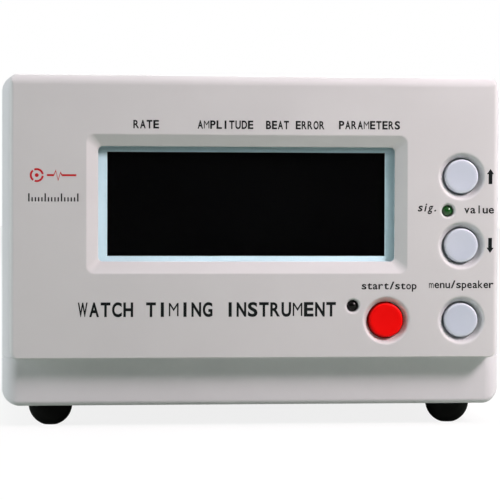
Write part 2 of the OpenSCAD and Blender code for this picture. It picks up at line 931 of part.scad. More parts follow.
module regulator_heatsink() {
    fins = 6;
    color("dimgray")
        translate([30, board_mid_y - 20 + fit_gap, board_top_z + 0.1]) {
            translate([-12, 0, 0])
                cube([24, 2, 22]);
            for (i = [0 : fins - 1])
                translate([-12 + i * (24 - 1.4) / (fins - 1), 1, 0])
                    cube([1.4, 9, 22]);
        }
}

module filter_capacitors() {
    places = [
        [6, board_rear_y - 9, 8, 12], [16, board_rear_y - 9, 8, 12], [-8, board_rear_y - 10, 6.3, 9],
        [12, board_mid_y - 20, 6.3, 9], [2, board_mid_y - 22, 5, 8]
    ];
    color("midnightblue")
        for (c = places)
            translate([c[0], c[1], board_top_z + 0.1])
                cylinder(h = c[3], d = c[2]);
}

// Pin headers where the ribbons and leads meet the main board
module board_headers() {
    color("ivory")
        for (h = headers)
            translate([h[0] - h[1] / 2, header_y - 2.5, board_top_z + 0.1])
                cube([h[1], 5, header_h]);
}

// ---- Loudspeaker ----

module speaker_turn() {
    translate([speaker_x, speaker_y, floor_z + 0.05])
        rotate_extrude($fn = 64)
            children();
}

module speaker_basket() {
    r = speaker_d / 2;
    color("dimgray")
        speaker_turn()
            polygon([
                [r - 3, 0], [r, 0], [r, 1.4], [r - 2.6, 1.4], [r * 0.55, speaker_h * 0.55],
                [r * 0.32, speaker_h * 0.55], [r * 0.32, speaker_h * 0.47],
                [r * 0.5, speaker_h * 0.47], [r - 4, 1.2]
            ]);
}

module speaker_magnet() {
    r = speaker_d / 2;
    color("darkslategray")
        speaker_turn()
            polygon([
                [0, speaker_h * 0.55 + fit_gap], [r * 0.5, speaker_h * 0.55 + fit_gap],
                [r * 0.5, speaker_h], [0, speaker_h]
            ]);
}

module speaker_cone() {
    r = speaker_d / 2;
    color("tan")
        speaker_turn()
            polygon([
                [0, 2.6], [r * 0.22, 3.3], [r * 0.3, 4.2], [r - 5, 1.2], [r - 3.5, 0.6],
                [r - 3.75, 0.9], [r - 4.8, 1.5], [r * 0.3, 4.6], [r * 0.2, 3.7], [0, 3]
            ]);
}

// Small bridges from a boss onto the flange
module speaker_clamps() {
    color("silver")
        for (a = speaker_angles)
            translate([speaker_x, speaker_y, floor_z + speaker_boss_h + fit_gap])
                rotate(a)
                    difference() {
                        union() {
                            translate([speaker_boss_r - 5.6, -2.5, 0])
                                cube([8, 5, clamp_t]);
                            translate([speaker_boss_r - 5.6, -2.5, -2.4])
                                cube([clamp_t, 5, 2.8]);
                        }
                        translate([speaker_boss_r, 0, -bite])
                            cylinder(h = 3 * bite, d = board_screw_d + 0.4);
                    }
}

module speaker_screws() {
    color("silver")
        for (a = speaker_angles)
            translate([speaker_x + speaker_boss_r * cos(a), speaker_y + speaker_boss_r * sin(a),
                       floor_z + speaker_boss_h + clamp_t + 2 * fit_gap])
                rotate([180, 0, 0])
                    screw_up(5, board_screw_d, board_screw_d * 1.9, 1.3);
}

// ---- Sockets ----

module power_inlet_body() {
    color("black")
        difference() {
            span([inlet_x - inlet_w / 2, rear_face_y - inlet_len, board_top_z + fit_gap],
                 [inlet_x + inlet_w / 2, rear_face_y, board_top_z + inlet_h]);
            rod_y(inlet_x, inlet_z, inlet_bore_d, rear_face_y - inlet_depth, rear_face_y + bite);
            rod_y(inlet_x, inlet_z, inlet_root_d + 2 * fit_gap,
                  rear_face_y - inlet_depth - 2, rear_face_y);
        }
}

module power_inlet_pin() {
    color("silver") {
        rod_y(inlet_x, inlet_z, inlet_root_d, rear_face_y - inlet_depth - 1.9, rear_face_y - 2);
        rod_y(inlet_x, inlet_z, inlet_pin_d, rear_face_y - inlet_depth, rear_face_y - 1.5);
        translate([inlet_x, rear_face_y - 1.5, inlet_z])
            sphere(d = inlet_pin_d);
    }
}

module power_inlet_terminals() {
    color("silver")
        for (x = inlet_tabs)
            translate([inlet_x + x - inlet_tab_w / 2, inlet_tab_y, board_z - 1.5])
                cube([inlet_tab_w, inlet_tab_t, board_t + 6]);
}

module sensor_socket_shell() {
    color("silver")
        difference() {
            union() {
                rod_y(sensor_x, sensor_z, sleeve_d, rear_face_y + hex_t, rear_face_y + sleeve_len);
                translate([sensor_x, rear_face_y + fit_gap + hex_t, sensor_z])
                    rotate([90, 0, 0])
                        cylinder(h = hex_t, d = hex_d / cos(30), $fn = 6);
                rod_y(sensor_x, sensor_z, barrel_d, rear_inner_y - barrel_len, rear_face_y + hex_t);
            }
            rod_y(sensor_x, sensor_z, sleeve_d - 2 * sleeve_wall, rear_face_y + hex_t + 0.5,
                  rear_face_y + sleeve_len + bite);
            rod_y(sensor_x, sensor_z, sensor_pin_d + 1.8, rear_inner_y - barrel_len - bite,
                  rear_face_y + sleeve_len);
        }
}

module sensor_socket_insulator() {
    color("ivory")
        difference() {
            union() {
                rod_y(sensor_x, sensor_z, sensor_pin_d + 1.8 - 2 * fit_gap,
                      rear_inner_y - barrel_len, rear_face_y + hex_t + 1);
                rod_y(sensor_x, sensor_z, sleeve_d - 2 * sleeve_wall - 2 * fit_gap,
                      rear_face_y + hex_t + 0.5 + fit_gap, rear_face_y + sleeve_len - 1.2);
            }
            rod_y(sensor_x, sensor_z, sensor_pin_d + 0.8, rear_inner_y - barrel_len - bite,
                  rear_face_y + sleeve_len + bite);
        }
}

module sensor_socket_contact() {
    color("gold")
        difference() {
            rod_y(sensor_x, sensor_z, sensor_pin_d + 0.8 - 2 * fit_gap,
                  rear_inner_y - barrel_len - 3, rear_face_y + sleeve_len - 1.5);
            rod_y(sensor_x, sensor_z, sensor_pin_d, rear_face_y - 4, rear_face_y + sleeve_len);
        }
}

module sensor_socket_nut() {
    color("silver")
        difference() {
            translate([sensor_x, rear_inner_y - lug_t - 2 * fit_gap, sensor_z])
                rotate([90, 0, 0])
                    cylinder(h = nut_t, d = nut_d / cos(30), $fn = 6);
            rod_y(sensor_x, sensor_z, barrel_d + 2 * screw_gap,
                  rear_inner_y - 4, rear_inner_y + bite);
        }
}

// Ring under the nut with a tab that bends inwards
module sensor_earth_lug() {
    color("gold")
        difference() {
            union() {
                rod_y(sensor_x, sensor_z, nut_d + 1,
                      rear_inner_y - lug_t - fit_gap, rear_inner_y - fit_gap);
                span([sensor_x - 1.5, rear_inner_y - lug_t - fit_gap, sensor_z + 3],
                     [sensor_x + 1.5, rear_inner_y - fit_gap, sensor_z + 11]);
                span([sensor_x - 1.5, rear_inner_y - 5, sensor_z + 11 - lug_t],
                     [sensor_x + 1.5, rear_inner_y - fit_gap, sensor_z + 11]);
            }
            rod_y(sensor_x, sensor_z, barrel_d + 0.2, rear_inner_y - bite, rear_inner_y + bite);
        }
}

// ---- Ribbons and leads: flat or square strips along a smooth path ----

// Outline of a strip of thickness t along a cubic curve a-b-c-d in the plane
function curve_point(a, b, c, d, u) =
    pow(1 - u, 3) * a + 3 * pow(1 - u, 2) * u * b + 3 * (1 - u) * u * u * c + pow(u, 3) * d;
function curve_tangent(a, b, c, d, u) =
    3 * pow(1 - u, 2) * (b - a) + 6 * (1 - u) * u * (c - b) + 3 * u * u * (d - c);
function curve_side(a, b, c, d, u, w) =
    let (p = curve_point(a, b, c, d, u), t = curve_tangent(a, b, c, d, u), l = norm(t))
    p + w / l * [-t[1], t[0]];

// Strip in the Y-Z plane, extruded along X from x0 to x1
module strip(x0, x1, t, a, b, c, d) {
    steps = 16;
    translate([x0, 0, 0])
        rotate([90, 0, 90])
            linear_extrude(x1 - x0)
                polygon(concat(
                    [for (i = [0 : steps]) curve_side(a, b, c, d, i / steps, t / 2)],
                    [for (i = [steps : -1 : 0]) curve_side(a, b, c, d, i / steps, -t / 2)]
                ));
}

module display_ribbon() {
    start_y = lcd_board_y + board_t + ribbon_t / 2 + fit_gap;
    half = headers[0][1] / 2 - 1;
    color("lightsteelblue")
        strip(headers[0][0] - half, headers[0][0] + half, ribbon_t,
              [start_y, display_mid_z + 6], [start_y + 2, display_mid_z - 30],
              [header_y, header_z + 40], [header_y, header_z]);
}

module key_ribbon() {
    start_y = key_board_y + board_t + ribbon_t / 2 + fit_gap;
    half = headers[2][1] / 2 - 1;
    color("lightsteelblue")
        strip(headers[2][0] - half + 9, headers[2][0] + half, ribbon_t,
              [start_y, seam_z + key_arm_top - 1], [start_y + 1, seam_z + 2],
              [header_y, header_z + 30], [header_y, header_z]);
}

module speaker_leads() {
    color("firebrick")
        for (s = [-1, 1])
            strip(headers[1][0] + s * 1.6 - lead_t / 2, headers[1][0] + s * 1.6 + lead_t / 2, lead_t,
                  [speaker_y + 3, floor_z + 5.2], [speaker_y + 14, floor_z + 9],
                  [header_y, header_z + 14], [header_y, header_z]);
}

module sensor_leads() {
    start_y = rear_inner_y - barrel_len - 3.2 - fit_gap;
    end_y = board_rear_y - 32;
    color("dimgray")
        strip(sensor_x - lead_t / 2, sensor_x + lead_t / 2, lead_t, [start_y, sensor_z],
              [start_y - 12, sensor_z], [end_y, board_top_z + 20], [end_y, board_top_z + 0.1]);
}

front_panel();
top_cover();
bottom_tray();
rear_panel();
display_window();
display_mask();
lcd_frame();
lcd_glass();
lcd_backlight();
lcd_board();
lcd_screws();
key_cap(keys[0], "lightgray");  // button_up
key_cap(keys[1], "lightgray");  // button_down
key_cap(keys[2], "lightgray");  // button_menu
key_cap(keys[3], "red");  // button_start
plunger(keys[0]);  // plunger_up
plunger(keys[1]);  // plunger_down
plunger(keys[2]);  // plunger_menu
plunger(keys[3]);  // plunger_start
key_switch_bases();
key_switch_covers();
key_contact_domes();
key_board();
key_board_screws();
led(leds[0], "green");  // signal_led
led(leds[1], "black");  // power_led
led_spacers();
led_leads();
main_board();
main_board_screws();
microcontroller();
clock_oscillator();
preamp_shield();
amplifier_chips();
voltage_regulator();
regulator_heatsink();
filter_capacitors();
board_headers();
speaker_basket();
speaker_magnet();
speaker_cone();
speaker_clamps();
speaker_screws();
power_inlet_body();
power_inlet_pin();
power_inlet_terminals();
sensor_socket_shell();
sensor_socket_insulator();
sensor_socket_contact();
sensor_socket_nut();
sensor_earth_lug();
case_screws();
foot(foot_places[0]);  // foot_front_left
foot(foot_places[1]);  // foot_front_right
foot(foot_places[2]);  // foot_rear_left
foot(foot_places[3]);  // foot_rear_right
display_ribbon();
key_ribbon();
speaker_leads();
sensor_leads();
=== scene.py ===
"""Looks of a desktop timegrapher: its moulded case, lettering, keys, display, sockets and studio.

Sizes are in millimetres and become metres when a mesh is built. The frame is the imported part's own:
X to the right, Y from the front to the back, Z up. Planes and middles come from the CAD nodes'
boxes.
"""

import logging
import math
from collections.abc import Sequence
from dataclasses import dataclass, field
from enum import Enum

import bmesh
import bpy
import numpy as np
from mathutils import Matrix, Vector
from mathutils.geometry import delaunay_2d_cdt


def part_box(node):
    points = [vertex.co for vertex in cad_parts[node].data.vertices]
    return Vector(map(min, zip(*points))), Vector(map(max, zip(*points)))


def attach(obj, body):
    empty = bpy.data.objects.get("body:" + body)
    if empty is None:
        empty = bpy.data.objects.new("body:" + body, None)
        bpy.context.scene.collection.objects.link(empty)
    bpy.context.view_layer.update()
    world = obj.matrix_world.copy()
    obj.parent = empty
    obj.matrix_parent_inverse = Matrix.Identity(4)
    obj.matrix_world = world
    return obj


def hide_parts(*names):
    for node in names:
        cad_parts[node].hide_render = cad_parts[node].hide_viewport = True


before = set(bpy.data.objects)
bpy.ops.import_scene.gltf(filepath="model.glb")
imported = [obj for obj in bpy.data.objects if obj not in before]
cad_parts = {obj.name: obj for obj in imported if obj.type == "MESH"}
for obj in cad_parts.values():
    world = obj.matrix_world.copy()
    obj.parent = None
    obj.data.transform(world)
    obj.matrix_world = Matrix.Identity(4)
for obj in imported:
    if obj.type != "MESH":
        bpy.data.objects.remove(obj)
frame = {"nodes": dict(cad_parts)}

logging.basicConfig(level=logging.INFO, format="%(message)s")
LOG = logging.getLogger("timegrapher")

MM = 0.001
MERGE = 0.002
CASE_BODY = "case"
SMOOTH_LIMIT = math.radians(34)
Array = np.ndarray


# ---- Reading the frame ----

@dataclass(frozen=True)
class Span:
    """A node's box, in millimetres.

    Args:
        low: lowest corner, as (x, y, z).
        high: highest corner, as (x, y, z).
    """

    low: Array
    high: Array

    @property
    def middle(self) -> Array:
        """The box's middle point."""
        return (self.low + self.high) / 2

    @property
    def size(self) -> Array:
        """The box's three sides."""
        return self.high - self.low


def span(node: str) -> Span:
    """Gives the box of one CAD node.

    Args:
        node: the node's name.

    Returns:
        Its box in millimetres.
    """
    low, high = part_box(node)
    return Span(np.array(low) / MM, np.array(high) / MM)


@dataclass(frozen=True)
class CasePlanes:
    """The planes that the case's pieces share, read from the frame."""

    half_w: float
    rim_y: float
    rear_y: float
    base_z: float
    seam_z: float
    top_z: float
    face_y: float
    rear_face_y: float
    wall: float = 2.5
    lip: float = 2.0
    long_r: float = 4.3
    short_r: float = 1.43

    @classmethod
    def read(cls) -> "CasePlanes":
        """Reads the planes from the boxes of the case's own nodes."""
        cover = span("top_cover")
        return cls(
            half_w=float(cover.high[0]),
            rim_y=float(cover.low[1]),
            rear_y=float(cover.high[1]),
            base_z=float(span("bottom_tray").low[2]),
            seam_z=float(cover.low[2]) - 0.05,
            top_z=float(cover.high[2]),
            face_y=float(span("front_panel").low[1]),
            rear_face_y=float(span("rear_panel").high[1]),
        )

    @property
    def floor_z(self) -> float:
        """Upper side of the tray's floor."""
        return self.base_z + self.wall


# ---- Outlines and profiles ----

def soften(corners: Array, radii: Sequence[float], steps: int = 5, closed: bool = False) -> Array:
    """Rounds the corners of a line with arcs.

    At a corner P with unit directions a and b to its neighbours, the arc's centre is
    P + (a + b) / |a + b| * r / sin(half angle), and its points turn evenly from one tangent
    point to the other. The radius is held to under half of the shorter side.

    Args:
        corners: the line's corners, one row (u, v) each.
        radii: one radius per corner, where 0 keeps the corner.
        steps: points on each arc.
        closed: whether the last corner joins the first.

    Returns:
        The rounded line's points, one row each.
    """
    here = np.asarray(corners, float)
    back = np.roll(here, 1, axis=0) - here
    ahead = np.roll(here, -1, axis=0) - here
    reach = np.minimum(np.linalg.norm(back, axis=1), np.linalg.norm(ahead, axis=1)) * 0.49
    a = back / np.maximum(np.linalg.norm(back, axis=1, keepdims=True), 1e-9)
    b = ahead / np.maximum(np.linalg.norm(ahead, axis=1, keepdims=True), 1e-9)
    half = np.arccos(np.clip((a * b).sum(1), -1, 1)) / 2
    radius = np.minimum(np.asarray(radii, float), reach * np.tan(np.maximum(half, 1e-6)))
    if not closed:
        radius[[0, -1]] = 0
    rounded = (radius > 1e-6) & (half < math.pi / 2 - 1e-3)
    across = a + b
    across /= np.maximum(np.linalg.norm(across, axis=1, keepdims=True), 1e-9)
    centre = here + across * (radius / np.maximum(np.sin(half), 1e-6))[:, None]
    tangent = (radius / np.maximum(np.tan(half), 1e-6))[:, None]
    start = here + a * tangent - centre
    end = here + b * tangent - centre
    turn = np.maximum(math.pi - 2 * half, 1e-6)[:, None, None]
    u = np.linspace(0, 1, steps)[None, :, None]
    arc = np.sin((1 - u) * turn) * start[:, None] + np.sin(u * turn) * end[:, None]
    points = centre[:, None] + arc / np.sin(np.minimum(turn, math.pi - 1e-6))
    pieces = [points[i] if rounded[i] else here[i:i + 1] for i in range(len(here))]
    return np.concatenate(pieces)


def rounded_ring(low: Array, high: Array, corner: Array, arc: int = 9) -> Array:
    """Gives a rectangle with elliptical corners, counter-clockwise.

    Each corner is centre + (cu * cos(t), cv * sin(t)) with its own half axes, so a ring can be
    inset further from one side than from another and stay smooth.

    Args:
        low: lowest corner (u, v).
        high: highest corner (u, v).
        corner: half axes, as 4 rows (cu, cv) from the upper right corner counter-clockwise.
        arc: points on each corner.

    Returns:
        4 * arc points, one row (u, v) each.
    """
    turn = (np.linspace(0, math.pi / 2, arc)[None, :] + np.arange(4)[:, None] * math.pi / 2)
    away = np.stack([np.cos(turn), np.sin(turn)], axis=2)
    sign = np.array([[1, 1], [-1, 1], [-1, -1], [1, -1]], float)
    middle = (np.asarray(low, float) + np.asarray(high, float)) / 2
    half = (np.asarray(high, float) - np.asarray(low, float)) / 2
    centre = middle + sign * (half - corner)
    return (centre[:, None] + corner[:, None] * away).reshape(-1, 2)


def plain_ring(low: Array, high: Array, radius: float, arc: int = 9) -> Array:
    """Gives a rectangle whose four corners share one radius, counter-clockwise."""
    return rounded_ring(low, high, np.full((4, 2), radius), arc)


def circle(middle: Array, radius: float, count: int = 56) -> Array:
    """Gives a circle's points, counter-clockwise."""
    turn = np.linspace(0, 2 * math.pi, count, endpoint=False)
    return np.asarray(middle, float) + radius * np.stack([np.cos(turn), np.sin(turn)], axis=1)


def slot_outline(middle: Array, width: float, length: float, arc: int = 9) -> Array:
    """Gives a slot with round ends that runs along the second axis."""
    half = np.array([width, length]) / 2
    return plain_ring(np.asarray(middle) - half, np.asarray(middle) + half, width / 2 - 0.01, arc)


def side_share(arc: int = 9) -> Array:
    """Gives, for each point of a ring, the share in which it faces along its first axis."""
    turn = (np.linspace(0, math.pi / 2, arc)[None, :] + np.arange(4)[:, None] * math.pi / 2)
    return (np.cos(turn) ** 2).reshape(-1)


# ---- Building meshes ----

class Facing(Enum):
    """Plane that a flat outline (u, v) lies in."""

    FRONT = "u is X and v is Z"
    PLAN = "u is X and v is Y"


def lift(points: Array, facing: Facing, level: float | Array) -> Array:
    """Places outline points (u, v) in space.

    Args:
        points: rows (u, v).
        facing: the plane that they lie in.
        level: the third coordinate, one number or one per point.

    Returns:
        Rows (x, y, z).
    """
    third = np.broadcast_to(level, points.shape[:1])
    if facing is Facing.FRONT:
        return np.stack([points[:, 0], third, points[:, 1]], axis=1)
    return np.stack([points[:, 0], points[:, 1], third], axis=1)


def inside(points: Array, loop: Array) -> Array:
    """Tells which points lie in a closed loop, by counting the sides that a ray crosses."""
    after = np.roll(loop, -1, axis=0)
    above = (loop[None, :, 1] > points[:, None, 1]) != (after[None, :, 1] > points[:, None, 1])
    rise = after[:, 1] - loop[:, 1]
    rise = np.where(np.abs(rise) < 1e-12, 1e-12, rise)
    share = (points[:, None, 1] - loop[None, :, 1]) / rise[None, :]
    cross = loop[None, :, 0] + share * (after - loop)[None, :, 0]
    return (above & (points[:, None, 0] < cross)).sum(1) % 2 == 1


class Skin:
    """A closed skin gathered from strips of quads and flat faces, in millimetres."""

    def __init__(self) -> None:
        """Starts an empty skin."""
        self._points: list[Array] = []
        self._faces: list[list[int]] = []
        self._count = 0

    def _take(self, points: Array, faces: Array) -> None:
        """Adds points and the faces that use them."""
        self._points.append(points)
        self._faces += (faces + self._count).tolist()
        self._count += len(points)

    def strip(self, grid: Array, round_columns: bool = True, round_rows: bool = False) -> None:
        """Adds quads over a grid of points.

        Args:
            grid: points as (rows, columns, 3).
            round_columns: whether the last column joins the first.
            round_rows: whether the last row joins the first.
        """
        rows, columns = grid.shape[:2]
        index = np.arange(rows * columns).reshape(rows, columns)
        if round_columns:
            index = np.concatenate([index, index[:, :1]], axis=1)
        if round_rows:
            index = np.concatenate([index, index[:1]], axis=0)
        quads = np.stack([index[:-1, :-1], index[:-1, 1:], index[1:, 1:], index[1:, :-1]], axis=-1)
        self._take(grid.reshape(-1, 3), quads.reshape(-1, 4))

    def flat(self, loops: Sequence[Array], facing: Facing, level: float) -> None:
        """Adds a flat face inside the first loop and outside the others.

        Args:
            loops: closed outlines (u, v), the outer one first.
            facing: the plane that they lie in.
            level: the third coordinate of the plane.
        """
        points = np.concatenate(loops)
        starts = np.cumsum([0] + [len(loop) for loop in loops[:-1]])
        edges = [
            (int(start + i), int(start + (i + 1) % len(loop)))
            for start, loop in zip(starts, loops) for i in range(len(loop))
        ]
        found = delaunay_2d_cdt([Vector(p) for p in points], edges, [], 1, 1e-6)
        corners = np.array([tuple(v) for v in found[0]])
        triangles = np.array(found[2])
        middles = corners[triangles].mean(axis=1)
        keep = inside(middles, loops[0])
        for hole in loops[1:]:
            keep &= ~inside(middles, hole)
        self._take(lift(corners, facing, level), triangles[keep])

    def turned(self, profile: Array, middle: Array, facing: Facing, count: int = 56) -> None:
        """Adds a profile turned about an axis.

        At turn t a point of it is middle + radius * (cos t, sin t).

        Args:
            profile: rows (radius, level).
            middle: the axis' place (u, v).
            facing: the plane that the axis stands on.
            count: steps round the axis.
        """
        unit = circle(np.zeros(2), 1.0, count)
        rings = np.asarray(middle) + profile[:, :1, None] * unit[None]
        level = np.broadcast_to(profile[:, 1:2], rings.shape[:2])
        points = lift(rings.reshape(-1, 2), facing, level.reshape(-1))
        self.strip(points.reshape(len(profile), count, 3))

    def build(self, name: str, material: bpy.types.Material) -> bpy.types.Object:
        """Makes the object: merged, closed, facing outwards, with soft and sharp edges.

        Args:
            name: the piece's name.
            material: its finish.

        Returns:
            The finished object at the origin, with its place in its mesh.
        """
        mesh = bpy.data.meshes.new(name)
        mesh.from_pydata(np.concatenate(self._points).tolist(), [], self._faces)
        return finish_mesh(name, mesh, material)


def edge_strength(mesh: bpy.types.Mesh) -> Array:
    """Measures how sharply a mesh turns at each point, for wear and a painted highlight along its
    edges.

    For each edge the angle is arccos of its two faces' normals multiplied as a dot product, and a
    point takes the largest angle of its edges, eased from 0 at 7 degrees to 1 at 16 degrees.

    Args:
        mesh: a closed mesh.

    Returns:
        One number from 0 to 1 per point.
    """
    edges = np.empty(len(mesh.loops), np.int64)
    mesh.loops.foreach_get("edge_index", edges)
    sides = np.empty(len(mesh.polygons), np.int64)
    mesh.polygons.foreach_get("loop_total", sides)
    normals = np.empty(len(mesh.polygons) * 3)
    mesh.polygons.foreach_get("normal", normals)
    owner = np.repeat(np.arange(len(sides)), sides)
    order = np.argsort(edges, kind="stable")
    pairs = edges[order]
    same = pairs[:-1] == pairs[1:]
    first, second = owner[order[:-1][same]], owner[order[1:][same]]
    normals = normals.reshape(-1, 3)
    angle = np.degrees(np.arccos(np.clip((normals[first] * normals[second]).sum(1), -1, 1)))
    ends = np.empty(len(mesh.edges) * 2, np.int64)
    mesh.edges.foreach_get("vertices", ends)
    strength = np.zeros(len(mesh.vertices))
    for side in range(2):
        np.maximum.at(strength, ends.reshape(-1, 2)[pairs[:-1][same], side], angle)
    share = np.clip((strength - 7) / 9, 0, 1)
    return share * share * (3 - 2 * share)


def finish_mesh(name: str, mesh: bpy.types.Mesh, material: bpy.types.Material) -> bpy.types.Object:
    """Merges a mesh in millimetres, turns it outwards, shades it and makes it an object in metres.

    Args:
        name: the piece's name.
        mesh: the raw mesh, in millimetres.
        material: its finish.

    Returns:
        The finished object.
    """
    work = bmesh.new()
    work.from_mesh(mesh)
    bmesh.ops.remove_doubles(work, verts=work.verts, dist=MERGE)
    bmesh.ops.dissolve_degenerate(work, edges=work.edges, dist=MERGE / 4)
    bmesh.ops.recalc_face_normals(work, faces=work.faces)
    for face in work.faces:
        face.smooth = True
    for edge in work.edges:
        edge.smooth = len(edge.link_faces) == 2 and edge.calc_face_angle(0) < SMOOTH_LIMIT
    open_edges = sum(1 for edge in work.edges if len(edge.link_faces) != 2)
    bmesh.ops.scale(work, vec=(MM, MM, MM), verts=work.verts)
    work.to_mesh(mesh)
    work.free()
    piece = bpy.data.objects.new(name, mesh)
    bpy.context.scene.collection.objects.link(piece)
    weighted = piece.modifiers.new("weighted", "WEIGHTED_NORMAL")
    weighted.keep_sharp = True
    bpy.context.view_layer.update()
    graph = bpy.context.evaluated_depsgraph_get()
    final = bpy.data.meshes.new_from_object(piece.evaluated_get(graph), depsgraph=graph)
    piece.modifiers.clear()
    piece.data = final
    final.name = name
    # The edge attribute drives wear and a painted edge highlight in the finishes.
    strength = final.attributes.new("edge", "FLOAT", "POINT")
    strength.data.foreach_set("value", edge_strength(final).astype(np.float32))
    final.materials.clear()
    final.materials.append(material)
    LOG.info("%s: %d faces, %d open edges", name, len(final.polygons), open_edges)
    return piece


def settle(piece: bpy.types.Object, body: str, slot: str, *nodes: str) -> bpy.types.Object:
    """Lets a piece ride on a body and hides the CAD nodes that it stands for."""
    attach(piece, body)
    if nodes:
        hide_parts(*nodes)
    return piece


# ---- Finishes ----

class Kind(Enum):
    """Family of a finish, which settles the patterns that it is built with."""

    MOULDED = "moulded plastic"
    METAL = "bare or plated metal"
    BOARD = "circuit board"
    CLEAR = "clear plastic"
    FIBRE = "paper or rubber with a coarse surface"


@dataclass(frozen=True)
class Finish:
    """A finish of one material slot.

    Args:
        kind: its family.
        colour: base colour, linear RGB.
        second: colour of its light or worn places, linear RGB.
        roughness: middle roughness.
        grain: size of its surface grain in millimetres.
        relief: height of the grain in millimetres.
        specular: specular level of a plastic.
        coat: weight of a gloss coat.
        metallic: 1 for metals.
        clear: share of light let through.
        wear: how far its edges take the second colour, as wear and as a painted highlight.
        dust: how much dust lies on its upper faces.
    """

    kind: Kind
    colour: tuple[float, float, float]
    second: tuple[float, float, float]
    roughness: float = 0.45
    grain: float = 0.35
    relief: float = 0.004
    specular: float = 0.5
    coat: float = 0.0
    metallic: float = 0.0
    clear: float = 0.0
    wear: float = 0.25
    dust: float = 0.0


def shades(red: float, green: float, blue: float) -> tuple[float, float, float]:
    """Turns display values from 0 to 255 into a linear colour."""
    share = np.array([red, green, blue]) / 255
    linear = np.where(share <= 0.04045, share / 12.92, ((share + 0.055) / 1.055) ** 2.4)
    return tuple(float(v) for v in linear)


PLASTIC, METAL, FIBRE = Kind.MOULDED, Kind.METAL, Kind.FIBRE
FINISHES: dict[str, Finish] = {
    "front_panel": Finish(PLASTIC, shades(212, 211, 212), shades(225, 224, 225), 0.42, 0.3, 0.0025,
                          specular=0.35, dust=0.04),
    "case": Finish(PLASTIC, shades(217, 216, 219), shades(230, 229, 232), 0.5, 0.5, 0.006,
                   specular=0.35, dust=0.1),
    "rear_panel": Finish(PLASTIC, shades(205, 205, 207), shades(222, 222, 224), 0.5, 0.4, 0.005),
    "window": Finish(Kind.CLEAR, (1.0, 1.0, 1.0), (1.0, 1.0, 1.0), 0.02, clear=1.0, wear=0.0),
    "mask": Finish(PLASTIC, shades(214, 246, 255), shades(222, 249, 255), 0.5, 0.3, 0.001,
                   specular=0.2),
    "black_steel": Finish(PLASTIC, shades(30, 30, 31), shades(70, 70, 70), 0.38, 0.3, 0.003),
    "screen": Finish(PLASTIC, (0.0006, 0.0006, 0.0008), (0.001, 0.001, 0.001), 0.4, 0.3, 0.0,
                     specular=0.02, wear=0.0),
    "white_plastic": Finish(PLASTIC, shades(232, 232, 228), shades(242, 242, 240), 0.5),
    "circuit_board": Finish(Kind.BOARD, shades(14, 74, 42), shades(36, 112, 66), 0.34, 0.5, 0.01),
    "steel_screw": Finish(METAL, shades(176, 177, 178), shades(214, 214, 214), 0.3, 0.4, 0.002,
                          metallic=1.0),
    # The caps' edges take the near-white second colour strongly: partly wear, partly a painted
    # highlight on the rim.
    "cap_grey": Finish(PLASTIC, shades(199, 207, 222), shades(236, 240, 247), 0.33, 0.3, 0.0018,
                       specular=0.45, wear=0.5),
    "cap_red": Finish(PLASTIC, (0.95, 0.0005, 0.0005), (0.96, 0.004, 0.003), 0.4, 0.3, 0.0018,
                      specular=0.12),
    "ivory_plastic": Finish(PLASTIC, shades(226, 218, 196), shades(238, 233, 218), 0.5),
    "black_plastic": Finish(PLASTIC, shades(24, 24, 25), shades(66, 66, 67), 0.45, 0.35, 0.004),
    "steel_sheet": Finish(METAL, shades(186, 187, 188), shades(214, 214, 214), 0.34, 0.6, 0.002,
                          metallic=1.0),
    "phosphor_bronze": Finish(METAL, shades(198, 142, 82), shades(222, 180, 128), 0.3, 0.4, 0.002,
                              metallic=1.0),
    "led_green": Finish(PLASTIC, shades(8, 72, 14), shades(20, 104, 28), 0.12, 0.5, 0.0,
                        coat=0.6, wear=0.0),
    "led_dark": Finish(PLASTIC, shades(4, 3, 4), shades(20, 14, 15), 0.14, 0.5, 0.0,
                       specular=0.2, coat=0.25, wear=0.0),
    "tinned_wire": Finish(METAL, shades(200, 200, 198), shades(224, 224, 222), 0.32, 0.3, 0.002,
                          metallic=1.0),
    "chip_plastic": Finish(PLASTIC, shades(32, 32, 33), shades(60, 60, 60), 0.6, 0.2, 0.004),
    "steel_can": Finish(METAL, shades(192, 193, 192), shades(220, 220, 219), 0.28, 0.5, 0.002,
                        metallic=1.0),
    "black_aluminium": Finish(METAL, shades(40, 40, 42), shades(130, 130, 134), 0.42, 0.4, 0.003,
                              metallic=1.0, wear=0.5),
    "capacitor_sleeve": Finish(PLASTIC, shades(26, 32, 62), shades(52, 62, 104), 0.3, 0.8, 0.003),
    "ferrite": Finish(FIBRE, shades(56, 57, 58), shades(88, 88, 88), 0.6, 0.4, 0.01),
    "paper_cone": Finish(FIBRE, shades(60, 54, 46), shades(92, 84, 72), 0.85, 0.5, 0.03),
    "nickel": Finish(METAL, shades(198, 196, 190), shades(226, 224, 220), 0.2, 0.5, 0.0015,
                     metallic=1.0),
    "gold_plate": Finish(METAL, shades(226, 182, 92), shades(240, 208, 134), 0.24, 0.4, 0.0015,
                         metallic=1.0),
    "foot_rubber": Finish(FIBRE, shades(9, 9, 9), shades(18, 18, 18), 0.7, 0.25, 0.008,
                          specular=0.12),
    "ribbon": Finish(PLASTIC, shades(158, 170, 184), shades(186, 196, 208), 0.45, 0.8, 0.004),
    "lead_red": Finish(PLASTIC, shades(150, 26, 22), shades(176, 52, 44), 0.42, 0.6, 0.004),
    "lead_grey": Finish(PLASTIC, shades(96, 97, 99), shades(124, 124, 126), 0.45, 0.6, 0.004),
    "print_black": Finish(PLASTIC, shades(10, 16, 18), shades(20, 26, 28), 0.5, 0.2, 0.0008,
                          specular=0.2, wear=0.0),
    "print_red": Finish(PLASTIC, shades(196, 24, 34), shades(206, 40, 50), 0.5, 0.2, 0.0008,
                        specular=0.2, wear=0.0),
}


